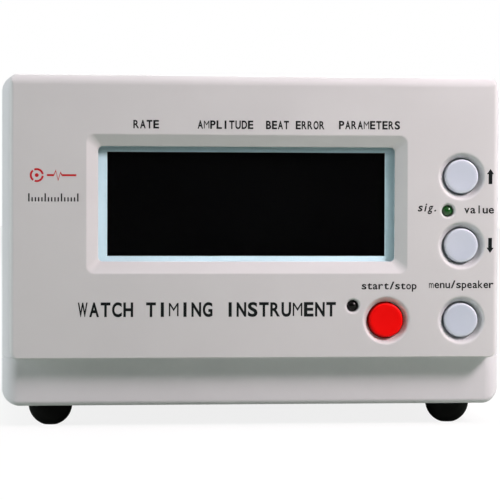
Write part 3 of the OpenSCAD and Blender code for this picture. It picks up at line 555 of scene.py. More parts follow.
class Tree:
    """A node tree, with short calls to add nodes and join them."""

    def __init__(self, tree: bpy.types.NodeTree) -> None:
        """Takes a tree to add to."""
        self.tree = tree

    def add(self, kind: str, values: dict[str | int, object] | None = None,
            **settings: object) -> bpy.types.Node:
        """Adds a node.

        Args:
            kind: the node's type, without its ShaderNode prefix.
            values: input values by socket name or place.
            settings: the node's own properties.

        Returns:
            The new node.
        """
        node = self.tree.nodes.new("ShaderNode" + kind)
        for name, value in settings.items():
            setattr(node, name, value)
        for socket, value in (values or {}).items():
            node.inputs[socket].default_value = value
        return node

    def join(self, source: bpy.types.NodeSocket, target: bpy.types.NodeSocket) -> None:
        """Links an output to an input."""
        self.tree.links.new(source, target)

    def maths(self, operation: str, first: object, second: object = 0.5,
              clamp: bool = False) -> bpy.types.NodeSocket:
        """Adds a maths node of two values, each a number or a socket, and gives its result."""
        node = self.add("Math", operation=operation, use_clamp=clamp)
        for place, value in enumerate((first, second)):
            if isinstance(value, bpy.types.NodeSocket):
                self.join(value, node.inputs[place])
            else:
                node.inputs[place].default_value = value
        return node.outputs[0]

    def ease(self, value: bpy.types.NodeSocket, low: float, high: float,
             to_low: float = 0.0, to_high: float = 1.0) -> bpy.types.NodeSocket:
        """Maps a value smoothly from one range to another and gives the result."""
        node = self.add("MapRange", interpolation_type="SMOOTHSTEP",
                        values={1: low, 2: high, 3: to_low, 4: to_high})
        self.join(value, node.inputs[0])
        return node.outputs[0]


def new_group(name: str, inputs: dict[str, str], outputs: dict[str, str]) -> tuple[
        Tree, bpy.types.Node, bpy.types.Node]:
    """Starts a shader node group.

    Args:
        name: the group's name.
        inputs: socket names and types.
        outputs: socket names and types.

    Returns:
        Its tree, its input node and its output node.
    """
    group = bpy.data.node_groups.new(name, "ShaderNodeTree")
    for way, sockets in (("INPUT", inputs), ("OUTPUT", outputs)):
        for label, kind in sockets.items():
            group.interface.new_socket(name=label, in_out=way, socket_type="NodeSocket" + kind)
    tree = Tree(group)
    return tree, group.nodes.new("NodeGroupInput"), group.nodes.new("NodeGroupOutput")


class Effects:
    """The shader node groups that the finishes share."""

    def __init__(self) -> None:
        """Builds each group once."""
        self.grain = self._grain()
        self.wear = self._wear_and_highlight()
        self.dust = self._dust()
        self.scratches = self._scratches()
        self.tracks = self._tracks()

    def _grain(self) -> bpy.types.NodeTree:
        """Fine moulded grain: two octaves of noise mixed with small cells, and a slow mottle."""
        tree, given, out = new_group("moulded_grain", {"Vector": "Vector", "Scale": "Float"},
                                     {"Height": "Float", "Mottle": "Float"})
        fine = tree.add("TexNoise", values={"Detail": 3.0, "Roughness": 0.6})
        cells = tree.add("TexVoronoi", feature="SMOOTH_F1", values={"Smoothness": 0.6})
        slow = tree.add("TexNoise", values={"Scale": 42.0, "Detail": 3.0})
        for node in (fine, cells, slow):
            tree.join(given.outputs["Vector"], node.inputs["Vector"])
        tree.join(given.outputs["Scale"], fine.inputs["Scale"])
        tree.join(tree.maths("MULTIPLY", given.outputs["Scale"], 0.7), cells.inputs["Scale"])
        bumps = tree.maths("MULTIPLY", cells.outputs["Distance"], 0.5)
        tree.join(tree.maths("ADD", fine.outputs[0], bumps), out.inputs["Height"])
        tree.join(slow.outputs[0], out.inputs["Mottle"])
        return tree.tree

    def _wear_and_highlight(self) -> bpy.types.NodeTree:
        """Wear and a painted highlight where the edge attribute is high, broken up by noise: a
        lighter colour on every sharp turn, creases included.
        """
        tree, given, out = new_group(
            "edge_wear_and_highlight", {"Vector": "Vector", "Edge": "Float", "Amount": "Float"},
            {"Mask": "Float"})
        noise = tree.add("TexNoise", values={"Scale": 260.0, "Detail": 4.0, "Roughness": 0.6})
        tree.join(given.outputs["Vector"], noise.inputs["Vector"])
        broken = tree.ease(noise.outputs[0], 0.35, 0.65, 0.35, 1.0)
        worn = tree.maths("MULTIPLY", given.outputs["Edge"], broken)
        tree.join(tree.maths("MULTIPLY", worn, given.outputs["Amount"], True), out.inputs["Mask"])
        return tree.tree

    def _dust(self) -> bpy.types.NodeTree:
        """Dust where the surface faces up, in soft patches with fine specks."""
        tree, given, out = new_group(
            "settled_dust", {"Vector": "Vector", "Up": "Float", "Amount": "Float"},
            {"Mask": "Float"})
        patches = tree.add("TexNoise", values={"Scale": 60.0, "Detail": 5.0, "Roughness": 0.65})
        specks = tree.add("TexVoronoi", values={"Scale": 900.0})
        for node in (patches, specks):
            tree.join(given.outputs["Vector"], node.inputs["Vector"])
        soft = tree.ease(patches.outputs[0], 0.42, 0.7)
        small = tree.ease(specks.outputs["Distance"], 0.18, 0.08)
        upward = tree.ease(given.outputs["Up"], 0.4, 0.95)
        lying = tree.maths("MULTIPLY", tree.maths("ADD", soft, small, True), upward)
        tree.join(tree.maths("MULTIPLY", lying, given.outputs["Amount"], True), out.inputs["Mask"])
        return tree.tree

    def _scratches(self) -> bpy.types.NodeTree:
        """Hair-fine marks: noise stretched along one axis, and smudges of handling."""
        tree, given, out = new_group("handling_marks", {"Vector": "Vector", "Scale": "Float"},
                                     {"Height": "Float", "Smudge": "Float"})
        stretch = tree.add("Mapping", values={"Rotation": (0.3, 0.5, 0.4),
                                              "Scale": (1.0, 0.06, 1.0)})
        tree.join(given.outputs["Vector"], stretch.inputs["Vector"])
        hair = tree.add("TexNoise", values={"Detail": 2.0, "Roughness": 0.7})
        tree.join(stretch.outputs[0], hair.inputs["Vector"])
        tree.join(given.outputs["Scale"], hair.inputs["Scale"])
        smudge = tree.add("TexNoise", values={"Scale": 55.0, "Detail": 4.0, "Distortion": 0.6})
        tree.join(given.outputs["Vector"], smudge.inputs["Vector"])
        tree.join(tree.ease(hair.outputs[0], 0.35, 0.65), out.inputs["Height"])
        tree.join(tree.ease(smudge.outputs[0], 0.35, 0.7), out.inputs["Smudge"])
        return tree.tree

    def _tracks(self) -> bpy.types.NodeTree:
        """Copper tracks under a mask: edges of stepped cells, with round pads between them."""
        tree, given, out = new_group("board_tracks", {"Vector": "Vector"},
                                     {"Track": "Float", "Pad": "Float"})
        cells = tree.add("TexVoronoi", feature="DISTANCE_TO_EDGE", distance="EUCLIDEAN",
                         values={"Scale": 330.0, "Randomness": 0.35})
        pads = tree.add("TexVoronoi", distance="EUCLIDEAN",
                        values={"Scale": 210.0, "Randomness": 0.2})
        for node in (cells, pads):
            tree.join(given.outputs["Vector"], node.inputs["Vector"])
        tree.join(tree.ease(cells.outputs["Distance"], 0.16, 0.1), out.inputs["Track"])
        tree.join(tree.ease(pads.outputs["Distance"], 0.2, 0.14), out.inputs["Pad"])
        return tree.tree


class Paintbox:
    """Builds one material per finish, and hands them out by slot name."""

    def __init__(self) -> None:
        """Builds the shared effects and every material."""
        self.effects = Effects()
        self.materials = {slot: self._mix(slot, finish) for slot, finish in FINISHES.items()}

    def __getitem__(self, slot: str) -> bpy.types.Material:
        """Gives the material of a slot."""
        return self.materials[slot]

    def _blend(self, tree: Tree, mask: bpy.types.NodeSocket, base: object,
               over: object) -> bpy.types.NodeSocket:
        """Mixes two colours by a mask and gives the result."""
        node = tree.add("Mix", data_type="RGBA")
        tree.join(mask, node.inputs["Factor"])
        for place, value in ((6, base), (7, over)):
            if isinstance(value, bpy.types.NodeSocket):
                tree.join(value, node.inputs[place])
            else:
                node.inputs[place].default_value = (*value, 1.0)
        return node.outputs[2]

    def _use(self, tree: Tree, group: bpy.types.NodeTree,
             vector: bpy.types.NodeSocket, **values: float) -> bpy.types.Node:
        """Places a shared effect in a material and sets its own values."""
        node = tree.add("Group", node_tree=group)
        tree.join(vector, node.inputs["Vector"])
        for name, value in values.items():
            node.inputs[name].default_value = value
        return node

    def _mix(self, slot: str, finish: Finish) -> bpy.types.Material:
        """Builds the material of one slot.

        Args:
            slot: the slot's name, which becomes the material's.
            finish: its finish.

        Returns:
            The material.
        """
        material = bpy.data.materials.new("finish_" + slot)
        material.use_nodes = True
        tree = Tree(material.node_tree)
        shader = material.node_tree.nodes["Principled BSDF"]
        place = tree.add("TexCoord").outputs["Object"]
        shader.inputs["Metallic"].default_value = finish.metallic
        shader.inputs["Specular IOR Level"].default_value = finish.specular
        shader.inputs["Coat Weight"].default_value = finish.coat
        shader.inputs["Transmission Weight"].default_value = finish.clear
        marks = self._use(tree, self.effects.scratches, place, Scale=700.0)
        if finish.kind is Kind.CLEAR:
            shader.inputs["Base Color"].default_value = (*finish.colour, 1.0)
            shader.inputs["IOR"].default_value = 1.49
            gloss = tree.ease(marks.outputs["Smudge"], 0.0, 1.0,
                              finish.roughness, finish.roughness + 0.02)
            tree.join(gloss, shader.inputs["Roughness"])
            through = tree.add("BsdfTransparent")
            mixer = tree.add("MixShader")
            tree.join(tree.add("LightPath").outputs["Is Shadow Ray"], mixer.inputs["Fac"])
            tree.join(shader.outputs[0], mixer.inputs[1])
            tree.join(through.outputs[0], mixer.inputs[2])
            output = material.node_tree.nodes["Material Output"]
            tree.join(mixer.outputs[0], output.inputs["Surface"])
            return material
        grain = self._use(tree, self.effects.grain, place, Scale=1000.0 / finish.grain)
        toned = tree.ease(grain.outputs["Mottle"], 0.3, 0.7, 0.0, 0.22)
        colour = self._blend(tree, toned, finish.colour, finish.second)
        height = grain.outputs["Height"]
        if finish.kind is Kind.METAL:
            height = tree.maths("ADD", height, marks.outputs["Height"])
        if finish.kind is Kind.BOARD:
            tracks = self._use(tree, self.effects.tracks, place)
            colour = self._blend(tree, tracks.outputs["Track"], colour, finish.second)
            colour = self._blend(tree, tracks.outputs["Pad"], colour, shades(196, 186, 150))
            height = tree.maths("ADD", height, tracks.outputs["Track"])
        # Edges, creases included, take the lighter second colour: partly wear, partly a painted
        # highlight.
        if finish.wear:
            wear = self._use(tree, self.effects.wear, place, Amount=finish.wear)
            edge = tree.add("Attribute", attribute_name="edge")
            tree.join(edge.outputs["Fac"], wear.inputs["Edge"])
            colour = self._blend(tree, wear.outputs["Mask"], colour, finish.second)
        if finish.dust:
            dust = self._use(tree, self.effects.dust, place, Amount=finish.dust)
            normal = tree.add("NewGeometry").outputs["Normal"]
            split = tree.add("SeparateXYZ")
            tree.join(normal, split.inputs[0])
            tree.join(split.outputs["Z"], dust.inputs["Up"])
            colour = self._blend(tree, dust.outputs["Mask"], colour, shades(176, 172, 164))
        tree.join(colour, shader.inputs["Base Color"])
        gloss = tree.ease(marks.outputs["Smudge"], 0.0, 1.0,
                          max(finish.roughness - 0.05, 0.02), finish.roughness + 0.06)
        tree.join(gloss, shader.inputs["Roughness"])
        if finish.relief:
            bump = tree.add("Bump", values={"Strength": 0.6, "Distance": finish.relief * MM})
            tree.join(height, bump.inputs["Height"])
            tree.join(bump.outputs[0], shader.inputs["Normal"])
        return material

    def dress(self, nodes: dict[str, bpy.types.Object]) -> None:
        """Gives every CAD node the finish of its own slot.

        Args:
            nodes: the CAD nodes by name.
        """
        for node in nodes.values():
            for place in node.material_slots:
                place.material = self.materials[place.material.name.split(".")[0]]


# ---- The case ----

def inset_ring(low: Array, high: Array, radius: float, sides: Sequence[float],
               arc: int = 9) -> Array:
    """Insets a rounded rectangle from each side by its own amount.

    The corner's half axes shrink with the two insets beside it and stay over a small least size.

    Args:
        low: lowest corner (u, v).
        high: highest corner (u, v).
        radius: corner radius without any inset.
        sides: insets from the u sides, the upper v side and the lower v side.
        arc: points on each corner.

    Returns:
        The ring's points, one row (u, v) each.
    """
    across, upper, lower = sides
    least = 0.3
    flank = max(radius - across, least)
    over, under = max(radius - upper, least), max(radius - lower, least)
    corner = np.array([[flank, over], [flank, over], [flank, under], [flank, under]])
    return rounded_ring(np.array([low[0] + across, low[1] + lower]),
                        np.array([high[0] - across, high[1] - upper]), corner, arc)


@dataclass
class FrontPanel:
    """The front panel: a rounded slab with the display recess, key wells and lamp holes."""

    planes: CasePlanes
    paint: Paintbox
    corner_r: float = 2.0
    side_r: float = 1.2
    upper_r: float = 2.8
    lower_r: float = 0.35
    plate_t: float = 4.5
    rim_gap: float = 0.15
    neck_wall: float = 1.5
    neck_r: float = 0.6
    flange_t: float = 1.5
    window_margin: float = 1.8
    recess_r: float = 1.2
    bevel_w: float = 3.1
    bevel_d: float = 1.8
    bevel_edges: tuple[float, float] = (0.9, 0.35)
    seat_r: float = 0.6
    seat_out: float = 0.15
    seat_gap: float = 0.02
    strip_w: float = 0.8
    well_d: float = 12.3
    well_depth: float = 1.7
    well_edges: tuple[float, float] = (0.7, 0.15)
    cap_flange: float = 0.7
    cap_gap: float = 0.38
    lamp_flange: float = 0.4
    lamp_gap: float = 0.1
    lamp_bevel: float = 0.45
    lamp_edges: tuple[float, float] = (0.25, 0.1)
    lamp_seat: float = 0.4
    lamp_room: float = 0.5
    arc: int = 9

    def _outer_rings(self) -> list[Array]:
        """Rounded front edge, side wall, neck and flange.

        At angle t the inset is r * (1 - sin t) and the depth r * (1 - cos t), where r is the side,
        upper or lower radius, shared out over each corner by the squares of its direction.
        """
        p = self.planes
        low, high = np.array([-self.half_w, p.seam_z]), np.array([self.half_w, p.top_z])
        share = side_share(self.arc)
        upper = np.arange(4 * self.arc) < 2 * self.arc
        radius = share * self.side_r + (1 - share) * np.where(upper, self.upper_r, self.lower_r)
        rings = []
        for turn in np.linspace(0, math.pi / 2, 11):
            cut = 1 - math.sin(turn)
            sides = (self.side_r * cut, self.upper_r * cut, self.lower_r * cut)
            outline = inset_ring(low, high, self.corner_r, sides, self.arc)
            rings.append(lift(outline, Facing.FRONT, p.face_y + radius * (1 - math.cos(turn))))
        back_y = p.rim_y - self.rim_gap
        rings.append(lift(inset_ring(low, high, self.corner_r, (0, 0, 0), self.arc),
                          Facing.FRONT, back_y))
        neck = (p.half_w - p.wall - p.lip, p.seam_z + self.rim_gap, p.top_z - p.wall - p.lip)
        flange = (p.half_w - p.wall - self.rim_gap, neck[1], p.top_z - p.wall - self.rim_gap)
        flange_y, end_y = p.rim_y + p.wall + self.rim_gap, span("front_panel").high[1]
        end_y = min(float(end_y), flange_y + self.flange_t)
        for (half, lower, top), level in ((neck, back_y), (neck, flange_y), (flange, flange_y),
                                          (flange, end_y)):
            rings.append(lift(plain_ring(np.array([-half, lower]), np.array([half, top]),
                                         self.neck_r, self.arc), Facing.FRONT, level))
        inner = self._neck_inside(neck)
        rings.append(lift(inner, Facing.FRONT, end_y))
        rings.append(lift(inner, Facing.FRONT, p.face_y + self.plate_t))
        return rings

    def _neck_inside(self, neck: tuple[float, float, float]) -> Array:
        """Outline of the room inside the neck."""
        half, lower, top = neck
        wall = self.neck_wall
        return plain_ring(np.array([-half + wall, lower + wall]),
                          np.array([half - wall, top - wall]), self.neck_r, self.arc)

    @property
    def half_w(self) -> float:
        """Half of the panel's width."""
        return float(span("front_panel").high[0])

    def _display_rings(self) -> list[Array]:
        """Bevelled recess round the display, the opening's wall and the seat of the window."""
        window = span("display_window")
        margin = self.window_margin
        low = window.low[[0, 2]] + margin
        high = window.high[[0, 2]] - margin
        depth = float(window.low[1]) - self.planes.face_y - self.seat_gap
        seat = margin + self.seat_out
        corners = np.array([[self.bevel_w + self.strip_w, 0], [self.bevel_w, 0],
                            [0, self.bevel_d], [0, depth], [seat, depth], [seat, self.plate_t]])
        rings = []
        for out, level in soften(corners, [0, *self.bevel_edges, 0, 0, 0], 6):
            share = min(max(out / self.bevel_w, 0), 1)
            seated = out > 0 and level >= depth
            eased = self.recess_r + (self.corner_r - self.recess_r) * share
            radius = self.seat_r if seated else eased
            rings.append(lift(plain_ring(low - out, high + out, radius, self.arc),
                              Facing.FRONT, self.planes.face_y + level))
        return rings

    def _well(self, key: Span) -> Array:
        """Profile (radius, Y) of a key's well and its bore."""
        bore = float(key.size[0]) / 2 - self.cap_flange + self.cap_gap
        rim = self.well_d / 2
        corners = np.array([[rim + self.strip_w, 0], [rim, 0], [bore + 0.15, self.well_depth],
                            [bore, self.well_depth + 0.1], [bore, self.plate_t]])
        profile = soften(corners, [0, *self.well_edges, 0, 0], 6)
        return profile + np.array([0, self.planes.face_y])

    def _lamp_hole(self, lamp: Span) -> Array:
        """Profile (radius, Y) of an indicator's hole and the room for its flange."""
        bore = float(lamp.size[0]) / 2 - self.lamp_flange + self.lamp_gap
        seat, room = self.plate_t - self.lamp_seat, bore + self.lamp_room
        corners = np.array([[bore + self.strip_w, 0], [bore + self.lamp_bevel, 0],
                            [bore, self.lamp_bevel], [bore, seat], [room, seat],
                            [room, self.plate_t]])
        profile = soften(corners, [0, *self.lamp_edges, 0, 0, 0], 4)
        return profile + np.array([0, self.planes.face_y])

    def build(self) -> bpy.types.Object:
        """Builds the panel and returns it."""
        skin = Skin()
        outer = self._outer_rings()
        display = self._display_rings()
        skin.strip(np.array(outer))
        skin.strip(np.array(display))
        front, back = [outer[0][:, [0, 2]], display[0][:, [0, 2]]], [outer[-1], display[-1]]
        back = [ring[:, [0, 2]] for ring in back]
        holes = [(self._well(span(f"button_{name}")), span(f"button_{name}"))
                 for name in ("up", "down", "menu", "start")]
        holes += [(self._lamp_hole(span(name)), span(name))
                  for name in ("signal_led", "power_led")]
        for profile, place in holes:
            middle = place.middle[[0, 2]]
            skin.turned(profile, middle, Facing.FRONT)
            front.append(circle(middle, profile[0, 0]))
            back.append(circle(middle, profile[-1, 0]))
        skin.flat(front, Facing.FRONT, self.planes.face_y)
        skin.flat(back, Facing.FRONT, self.planes.face_y + self.plate_t)
        panel = skin.build("moulded_front_panel", self.paint["front_panel"])
        return settle(panel, CASE_BODY, "front_panel", "front_panel")


@dataclass
class TopCover:
    """The cover: one wall profile carried up a side, over the top and down the other side."""

    planes: CasePlanes
    paint: Paintbox
    rib_t: float = 2.5
    rear_t: float = 2.2
    gap: float = 0.15
    nick: float = 0.25
    arc: int = 13

    def _profile(self) -> list[tuple[float, float, float, float]]:
        """Wall profile as rows (side inset, upper inset, Y at the sides, Y on top)."""
        p = self.planes
        rows = []
        for turn in np.linspace(0, math.pi / 2, 11):
            cut, depth = 1 - math.sin(turn), 1 - math.cos(turn)
            rows.append((p.long_r * cut, p.short_r * cut,
                         p.rim_y + p.long_r * depth, p.rim_y + p.short_r * depth))
        for turn in np.linspace(math.pi / 2, 0, 11):
            cut, depth = 1 - math.sin(turn), 1 - math.cos(turn)
            rows.append((p.long_r * cut, p.short_r * cut,
                         p.rear_y - p.long_r * depth, p.rear_y - p.short_r * depth))
        wide, narrow = p.wall + p.lip, p.wall
        seat_y = p.rear_face_y + self.gap
        rib_y = p.rear_face_y - self.rear_t - self.gap
        rib_end, lip_y = rib_y - self.rib_t, p.rim_y + p.wall
        for inset, level in ((wide, p.rear_y), (wide, seat_y), (narrow, seat_y), (narrow, rib_y),
                             (wide, rib_y), (wide, rib_end), (narrow, rib_end), (narrow, lip_y),
                             (wide - self.gap, lip_y), (wide - self.gap, p.rim_y)):
            rows.append((inset, inset, level, level))
        return rows

    def build(self) -> bpy.types.Object:
        """Builds the cover and returns it."""
        p = self.planes
        low, high = np.array([-p.half_w, p.base_z]), np.array([p.half_w, p.top_z])
        share = side_share(self.arc)[:2 * self.arc]
        grid = []
        for across, upper, side_y, top_y in self._profile():
            outline = inset_ring(low, high, p.long_r, (across, upper, across), self.arc)
            arch = outline[:2 * self.arc]
            level = share * side_y + (1 - share) * top_y
            nick = self.nick * max(0.0, 1 - across / p.long_r)
            reach = p.half_w - across
            ends = np.array([[reach - nick, p.seam_z], [reach, p.seam_z + self.nick]])
            path = np.concatenate([ends, arch, ends[::-1] * [-1, 1]])
            depth = np.concatenate([[side_y] * 2, level, [side_y] * 2])
            grid.append(lift(path, Facing.FRONT, depth))
        skin = Skin()
        skin.strip(np.array(grid), round_columns=False, round_rows=True)
        for column in (0, -1):
            loop = np.array([row[column][:2] for row in grid])
            skin.flat([loop], Facing.PLAN, p.seam_z)
        cover = skin.build("moulded_top_cover", self.paint["case"])
        return settle(cover, CASE_BODY, "case", "top_cover")


@dataclass
class BottomTray:
    """The tray: a pan with screw tubes and the slots in front of the loudspeaker."""

    planes: CasePlanes
    paint: Paintbox
    gap: float = 0.15
    nick: float = 0.25
    post_r: float = 4.0
    post_inset: float = 7.1
    post_front: float = 26.0
    post_rear: float = 22.0
    post_h: float = 16.0
    sink_r: float = 3.3
    sink_h: float = 6.0
    thread_r: float = 1.7
    slot_w: float = 2.2
    slot_pitch: float = 4.4
    slot_count: int = 7
    slot_margin: float = 4.0
    room_r: float = 0.6
    arc: int = 13

    def _posts(self) -> list[Array]:
        """Middles of the four screw tubes."""
        p = self.planes
        x = p.half_w - self.post_inset
        return [np.array([side * x, y]) for side in (-1, 1)
                for y in (p.rim_y + self.post_front, p.rear_y - self.post_rear)]

    def _slots(self) -> list[tuple[Array, float]]:
        """Middles and lengths of the slots, which fill a circle inside the loudspeaker's rim."""
        speaker = span("speaker_basket")
        reach = float(speaker.size[0]) / 2 - self.slot_margin
        steps = np.arange(self.slot_count) - (self.slot_count - 1) / 2
        return [(speaker.middle[:2] + [step * self.slot_pitch, 0],
                 2 * math.sqrt(reach ** 2 - (step * self.slot_pitch) ** 2)) for step in steps]

    def _rings(self) -> list[Array]:
        """Rings from the tray's floor over its rim and down the outside to its underside."""
        p = self.planes
        low, high = np.array([-p.half_w, p.rim_y]), np.array([p.half_w, p.rear_y])
        room_low = low + p.wall
        room_high = np.array([p.half_w - p.wall, p.rear_face_y + self.gap])
        room = plain_ring(room_low, room_high, self.room_r, self.arc)
        rings = [lift(room, Facing.PLAN, p.floor_z), lift(room, Facing.PLAN, p.seam_z)]
        for inset, level in ((self.nick, p.seam_z), (0.0, p.seam_z - self.nick)):
            rings.append(lift(inset_ring(low, high, p.long_r, (inset,) * 3, self.arc),
                              Facing.PLAN, level))
        share = side_share(self.arc)
        radius = share * p.long_r + (1 - share) * p.short_r
        for turn in np.linspace(0, math.pi / 2, 11):
            cut = 1 - math.cos(turn)
            outline = inset_ring(low, high, p.long_r,
                                 (p.long_r * cut, p.short_r * cut, p.short_r * cut), self.arc)
            rings.append(lift(outline, Facing.PLAN, p.base_z + radius * (1 - math.sin(turn))))
        return rings

    def build(self) -> bpy.types.Object:
        """Builds the tray and returns it."""
        p = self.planes
        skin = Skin()
        rings = self._rings()
        skin.strip(np.array(rings))
        floor, under = [rings[0][:, :2]], [rings[-1][:, :2]]
        corners = np.array([
            [self.sink_r + 0.5, p.base_z], [self.sink_r, p.base_z],
            [self.sink_r, p.base_z + self.sink_h], [self.thread_r, p.base_z + self.sink_h],
            [self.thread_r, p.floor_z + self.post_h], [self.post_r, p.floor_z + self.post_h],
            [self.post_r, p.floor_z]])
        profile = soften(corners, [0, 0.3, 0, 0, 0.3, 0.4, 0], 4)
        flat_half = p.half_w - p.long_r - 0.05
        for middle in self._posts():
            tube = np.array([lift(circle(middle, radius, 40), Facing.PLAN, level)
                             for radius, level in profile])
            reach = flat_half + 2 * (tube[:, :, 2] - p.base_z)
            tube[:, :, 0] = np.clip(tube[:, :, 0], -reach, reach)
            skin.strip(tube)
            under.append(tube[0][:, :2])
            floor.append(tube[-1][:, :2])
        lip = soften(np.array([[0.6, 0], [0, 0], [0, p.wall]]), [0, 0.4, 0], 5)
        for middle, length in self._slots():
            slot = [lift(slot_outline(middle, self.slot_w + 2 * out, length + 2 * out),
                         Facing.PLAN, p.base_z + level) for out, level in lip]
            skin.strip(np.array(slot))
            under.append(slot[0][:, :2])
            floor.append(slot[-1][:, :2])
        skin.flat(under, Facing.PLAN, p.base_z)
        skin.flat(floor, Facing.PLAN, p.floor_z)
        tray = skin.build("moulded_bottom_tray", self.paint["case"])
        return settle(tray, CASE_BODY, "case", "bottom_tray")


def slab_rings(low: Array, high: Array, faces: tuple[float, float], corner_r: float,
               edge: tuple[float, float], steps: int = 5) -> list[Array]:
    """Gives the rings round a slab, from one face over its softened side to the other.

    Args:
        low: lowest corner (x, z).
        high: highest corner (x, z).
        faces: the Y of the first and of the last face.
        corner_r: radius of its corners, seen from the front.
        edge: how far in the rings start on a face, and the radius of its edges.
        steps: points on each edge's arc.

    Returns:
        The rings, each with one row (x, y, z) per point.
    """
    (first, last), (strip, edge_r) = faces, edge
    corners = np.array([[strip, first], [0, first], [0, last], [strip, last]])
    return [lift(plain_ring(low + inset, high - inset, corner_r), Facing.FRONT, level)
            for inset, level in soften(corners, [0, edge_r, edge_r, 0], steps)]


@dataclass
class RearPanel:
    """The rear panel: a plate with softened edges and holes for the two sockets."""

    paint: Paintbox
    corner_r: float = 1.2
    edge_r: float = 0.45
    hole_r: float = 3.2
    hole_edge: float = 0.25
    strip_w: float = 0.6
    inlet_gap: float = 0.15
    inlet_r: float = 0.5

    def build(self) -> bpy.types.Object:
        """Builds the plate and returns it."""
        plate = span("rear_panel")
        front_y, back_y = float(plate.low[1]), float(plate.high[1])
        rings = slab_rings(plate.low[[0, 2]], plate.high[[0, 2]], (back_y, front_y),
                           self.corner_r, (self.edge_r * 2, self.edge_r))
        skin = Skin()
        skin.strip(np.array(rings))
        outside, within = [rings[0][:, [0, 2]]], [rings[-1][:, [0, 2]]]
        socket = span("sensor_socket_nut")
        radius = self.hole_r
        bore = soften(np.array([[radius + self.strip_w, back_y], [radius, back_y],
                                [radius, front_y]]), [0, self.hole_edge, 0], 4)
        skin.turned(bore, socket.middle[[0, 2]], Facing.FRONT)
        outside.append(circle(socket.middle[[0, 2]], bore[0, 0]))
        within.append(circle(socket.middle[[0, 2]], bore[-1, 0]))
        inlet = span("power_inlet_body")
        lip = soften(np.array([[self.strip_w, back_y], [0, back_y], [0, front_y]]),
                     [0, self.hole_edge, 0], 4)
        slot = [lift(plain_ring(inlet.low[[0, 2]] - self.inlet_gap - out,
                                inlet.high[[0, 2]] + self.inlet_gap + out, self.inlet_r),
                     Facing.FRONT, level) for out, level in lip]
        skin.strip(np.array(slot))
        outside.append(slot[0][:, [0, 2]])
        within.append(slot[-1][:, [0, 2]])
        skin.flat(outside, Facing.FRONT, back_y)
        skin.flat(within, Facing.FRONT, front_y)
        panel = skin.build("rear_plate", self.paint["rear_panel"])
        return settle(panel, CASE_BODY, "rear_panel", "rear_panel")


@dataclass
class Feet:
    """Four domed rubber feet with a flat tip."""

    planes: CasePlanes
    paint: Paintbox
    shoulder: float = 0.14
    sink: float = 0.02

    def build(self) -> list[bpy.types.Object]:
        """Builds the feet: a sphere's cap turned about its own axis, with a soft upper rim."""
        pieces, top = [], self.planes.base_z
        for name in ("front_left", "front_right", "rear_left", "rear_right"):
            node = span(f"foot_{name}")
            radius = float(node.size[0]) / 2
            turn = np.linspace(math.asin(min(top / radius, 1.0)), 0, 16)
            dome = np.stack([radius * np.cos(turn), top - radius * np.sin(turn)], axis=1)
            rim = [[radius - self.shoulder, top - self.sink], [0, top - self.sink]]
            profile = np.concatenate([[[0, float(dome[0, 1])]], dome, rim])
            skin = Skin()
            skin.turned(profile, node.middle[:2], Facing.PLAN, 64)
            foot = skin.build(f"rubber_foot_{name}", self.paint["foot_rubber"])
            pieces.append(settle(foot, CASE_BODY, "foot_rubber", f"foot_{name}"))
        return pieces


# ---- Keys, lamps and display ----

@dataclass
class KeyCaps:
    """Four round caps with a soft edge and a faint dish, one on each key's body."""

    paint: Paintbox
    dish: float = 0.12
    edge_r: float = 0.6
    rim_w: float = 1.1
    flange_t: float = 1.0
    flange_out: float = 0.7
    flange_back: float = 2.2
    stem_r: float = 3.0
    bore_r: float = 1.85
    bore_from: float = 3.25

    def build(self) -> list[bpy.types.Object]:
        """Builds the caps: a profile from the dished middle over the edge to the stem's bore."""
        pieces = []
        for name in ("up", "down", "menu", "start"):
            node = span(f"button_{name}")
            face, end = float(node.low[1]), float(node.high[1])
            flange_r = float(node.size[0]) / 2
            cap_r = flange_r - self.flange_out
            flange_y = end - self.flange_back - self.flange_t
            away = np.linspace(0, 1, 8)
            dish = np.stack([away * (cap_r - self.rim_w),
                             face + self.dish * (1 - away ** 2)], axis=1)
            side = soften(np.array([
                dish[-1], [cap_r, face], [cap_r, flange_y], [flange_r, flange_y],
                [flange_r, flange_y + self.flange_t], [self.stem_r, flange_y + self.flange_t],
                [self.stem_r, end], [self.bore_r, end], [self.bore_r, face + self.bore_from],
                [0, face + self.bore_from]]),
                [0, self.edge_r, 0.1, 0.15, 0.15, 0, 0.2, 0.1, 0, 0], 6)
            skin = Skin()
            skin.turned(np.concatenate([dish[:-1], side]), node.middle[[0, 2]], Facing.FRONT, 72)
            slot = "cap_red" if name == "start" else "cap_grey"
            cap = skin.build(f"key_cap_{name}", self.paint[slot])
            pieces.append(settle(cap, f"{name}_key", slot, f"button_{name}"))
        return pieces


@dataclass
class Lamps:
    """The two indicator lenses: a dome on a short cylinder with a flange."""

    paint: Paintbox
    flange_out: float = 0.4
    flange_t: float = 1.0

    def build(self) -> list[bpy.types.Object]:
        """Builds the lenses: the dome's radius is r * sin t and its depth r * (1 - cos t)."""
        pieces = []
        for name, slot in (("signal_led", "led_green"), ("power_led", "led_dark")):
            node = span(name)
            tip, end = float(node.low[1]), float(node.high[1])
            flange_r = float(node.size[0]) / 2
            radius = flange_r - self.flange_out
            turn = np.linspace(0, math.pi / 2, 12)
            dome = np.stack([radius * np.sin(turn), tip + radius * (1 - np.cos(turn))], axis=1)
            side = np.array([[radius, end - self.flange_t], [flange_r, end - self.flange_t],
                             [flange_r, end], [0, end]])
            skin = Skin()
            skin.turned(np.concatenate([dome, side]), node.middle[[0, 2]], Facing.FRONT, 40)
            lens = skin.build(f"{name}_lens", self.paint[slot])
            pieces.append(settle(lens, CASE_BODY, slot, name))
        return pieces


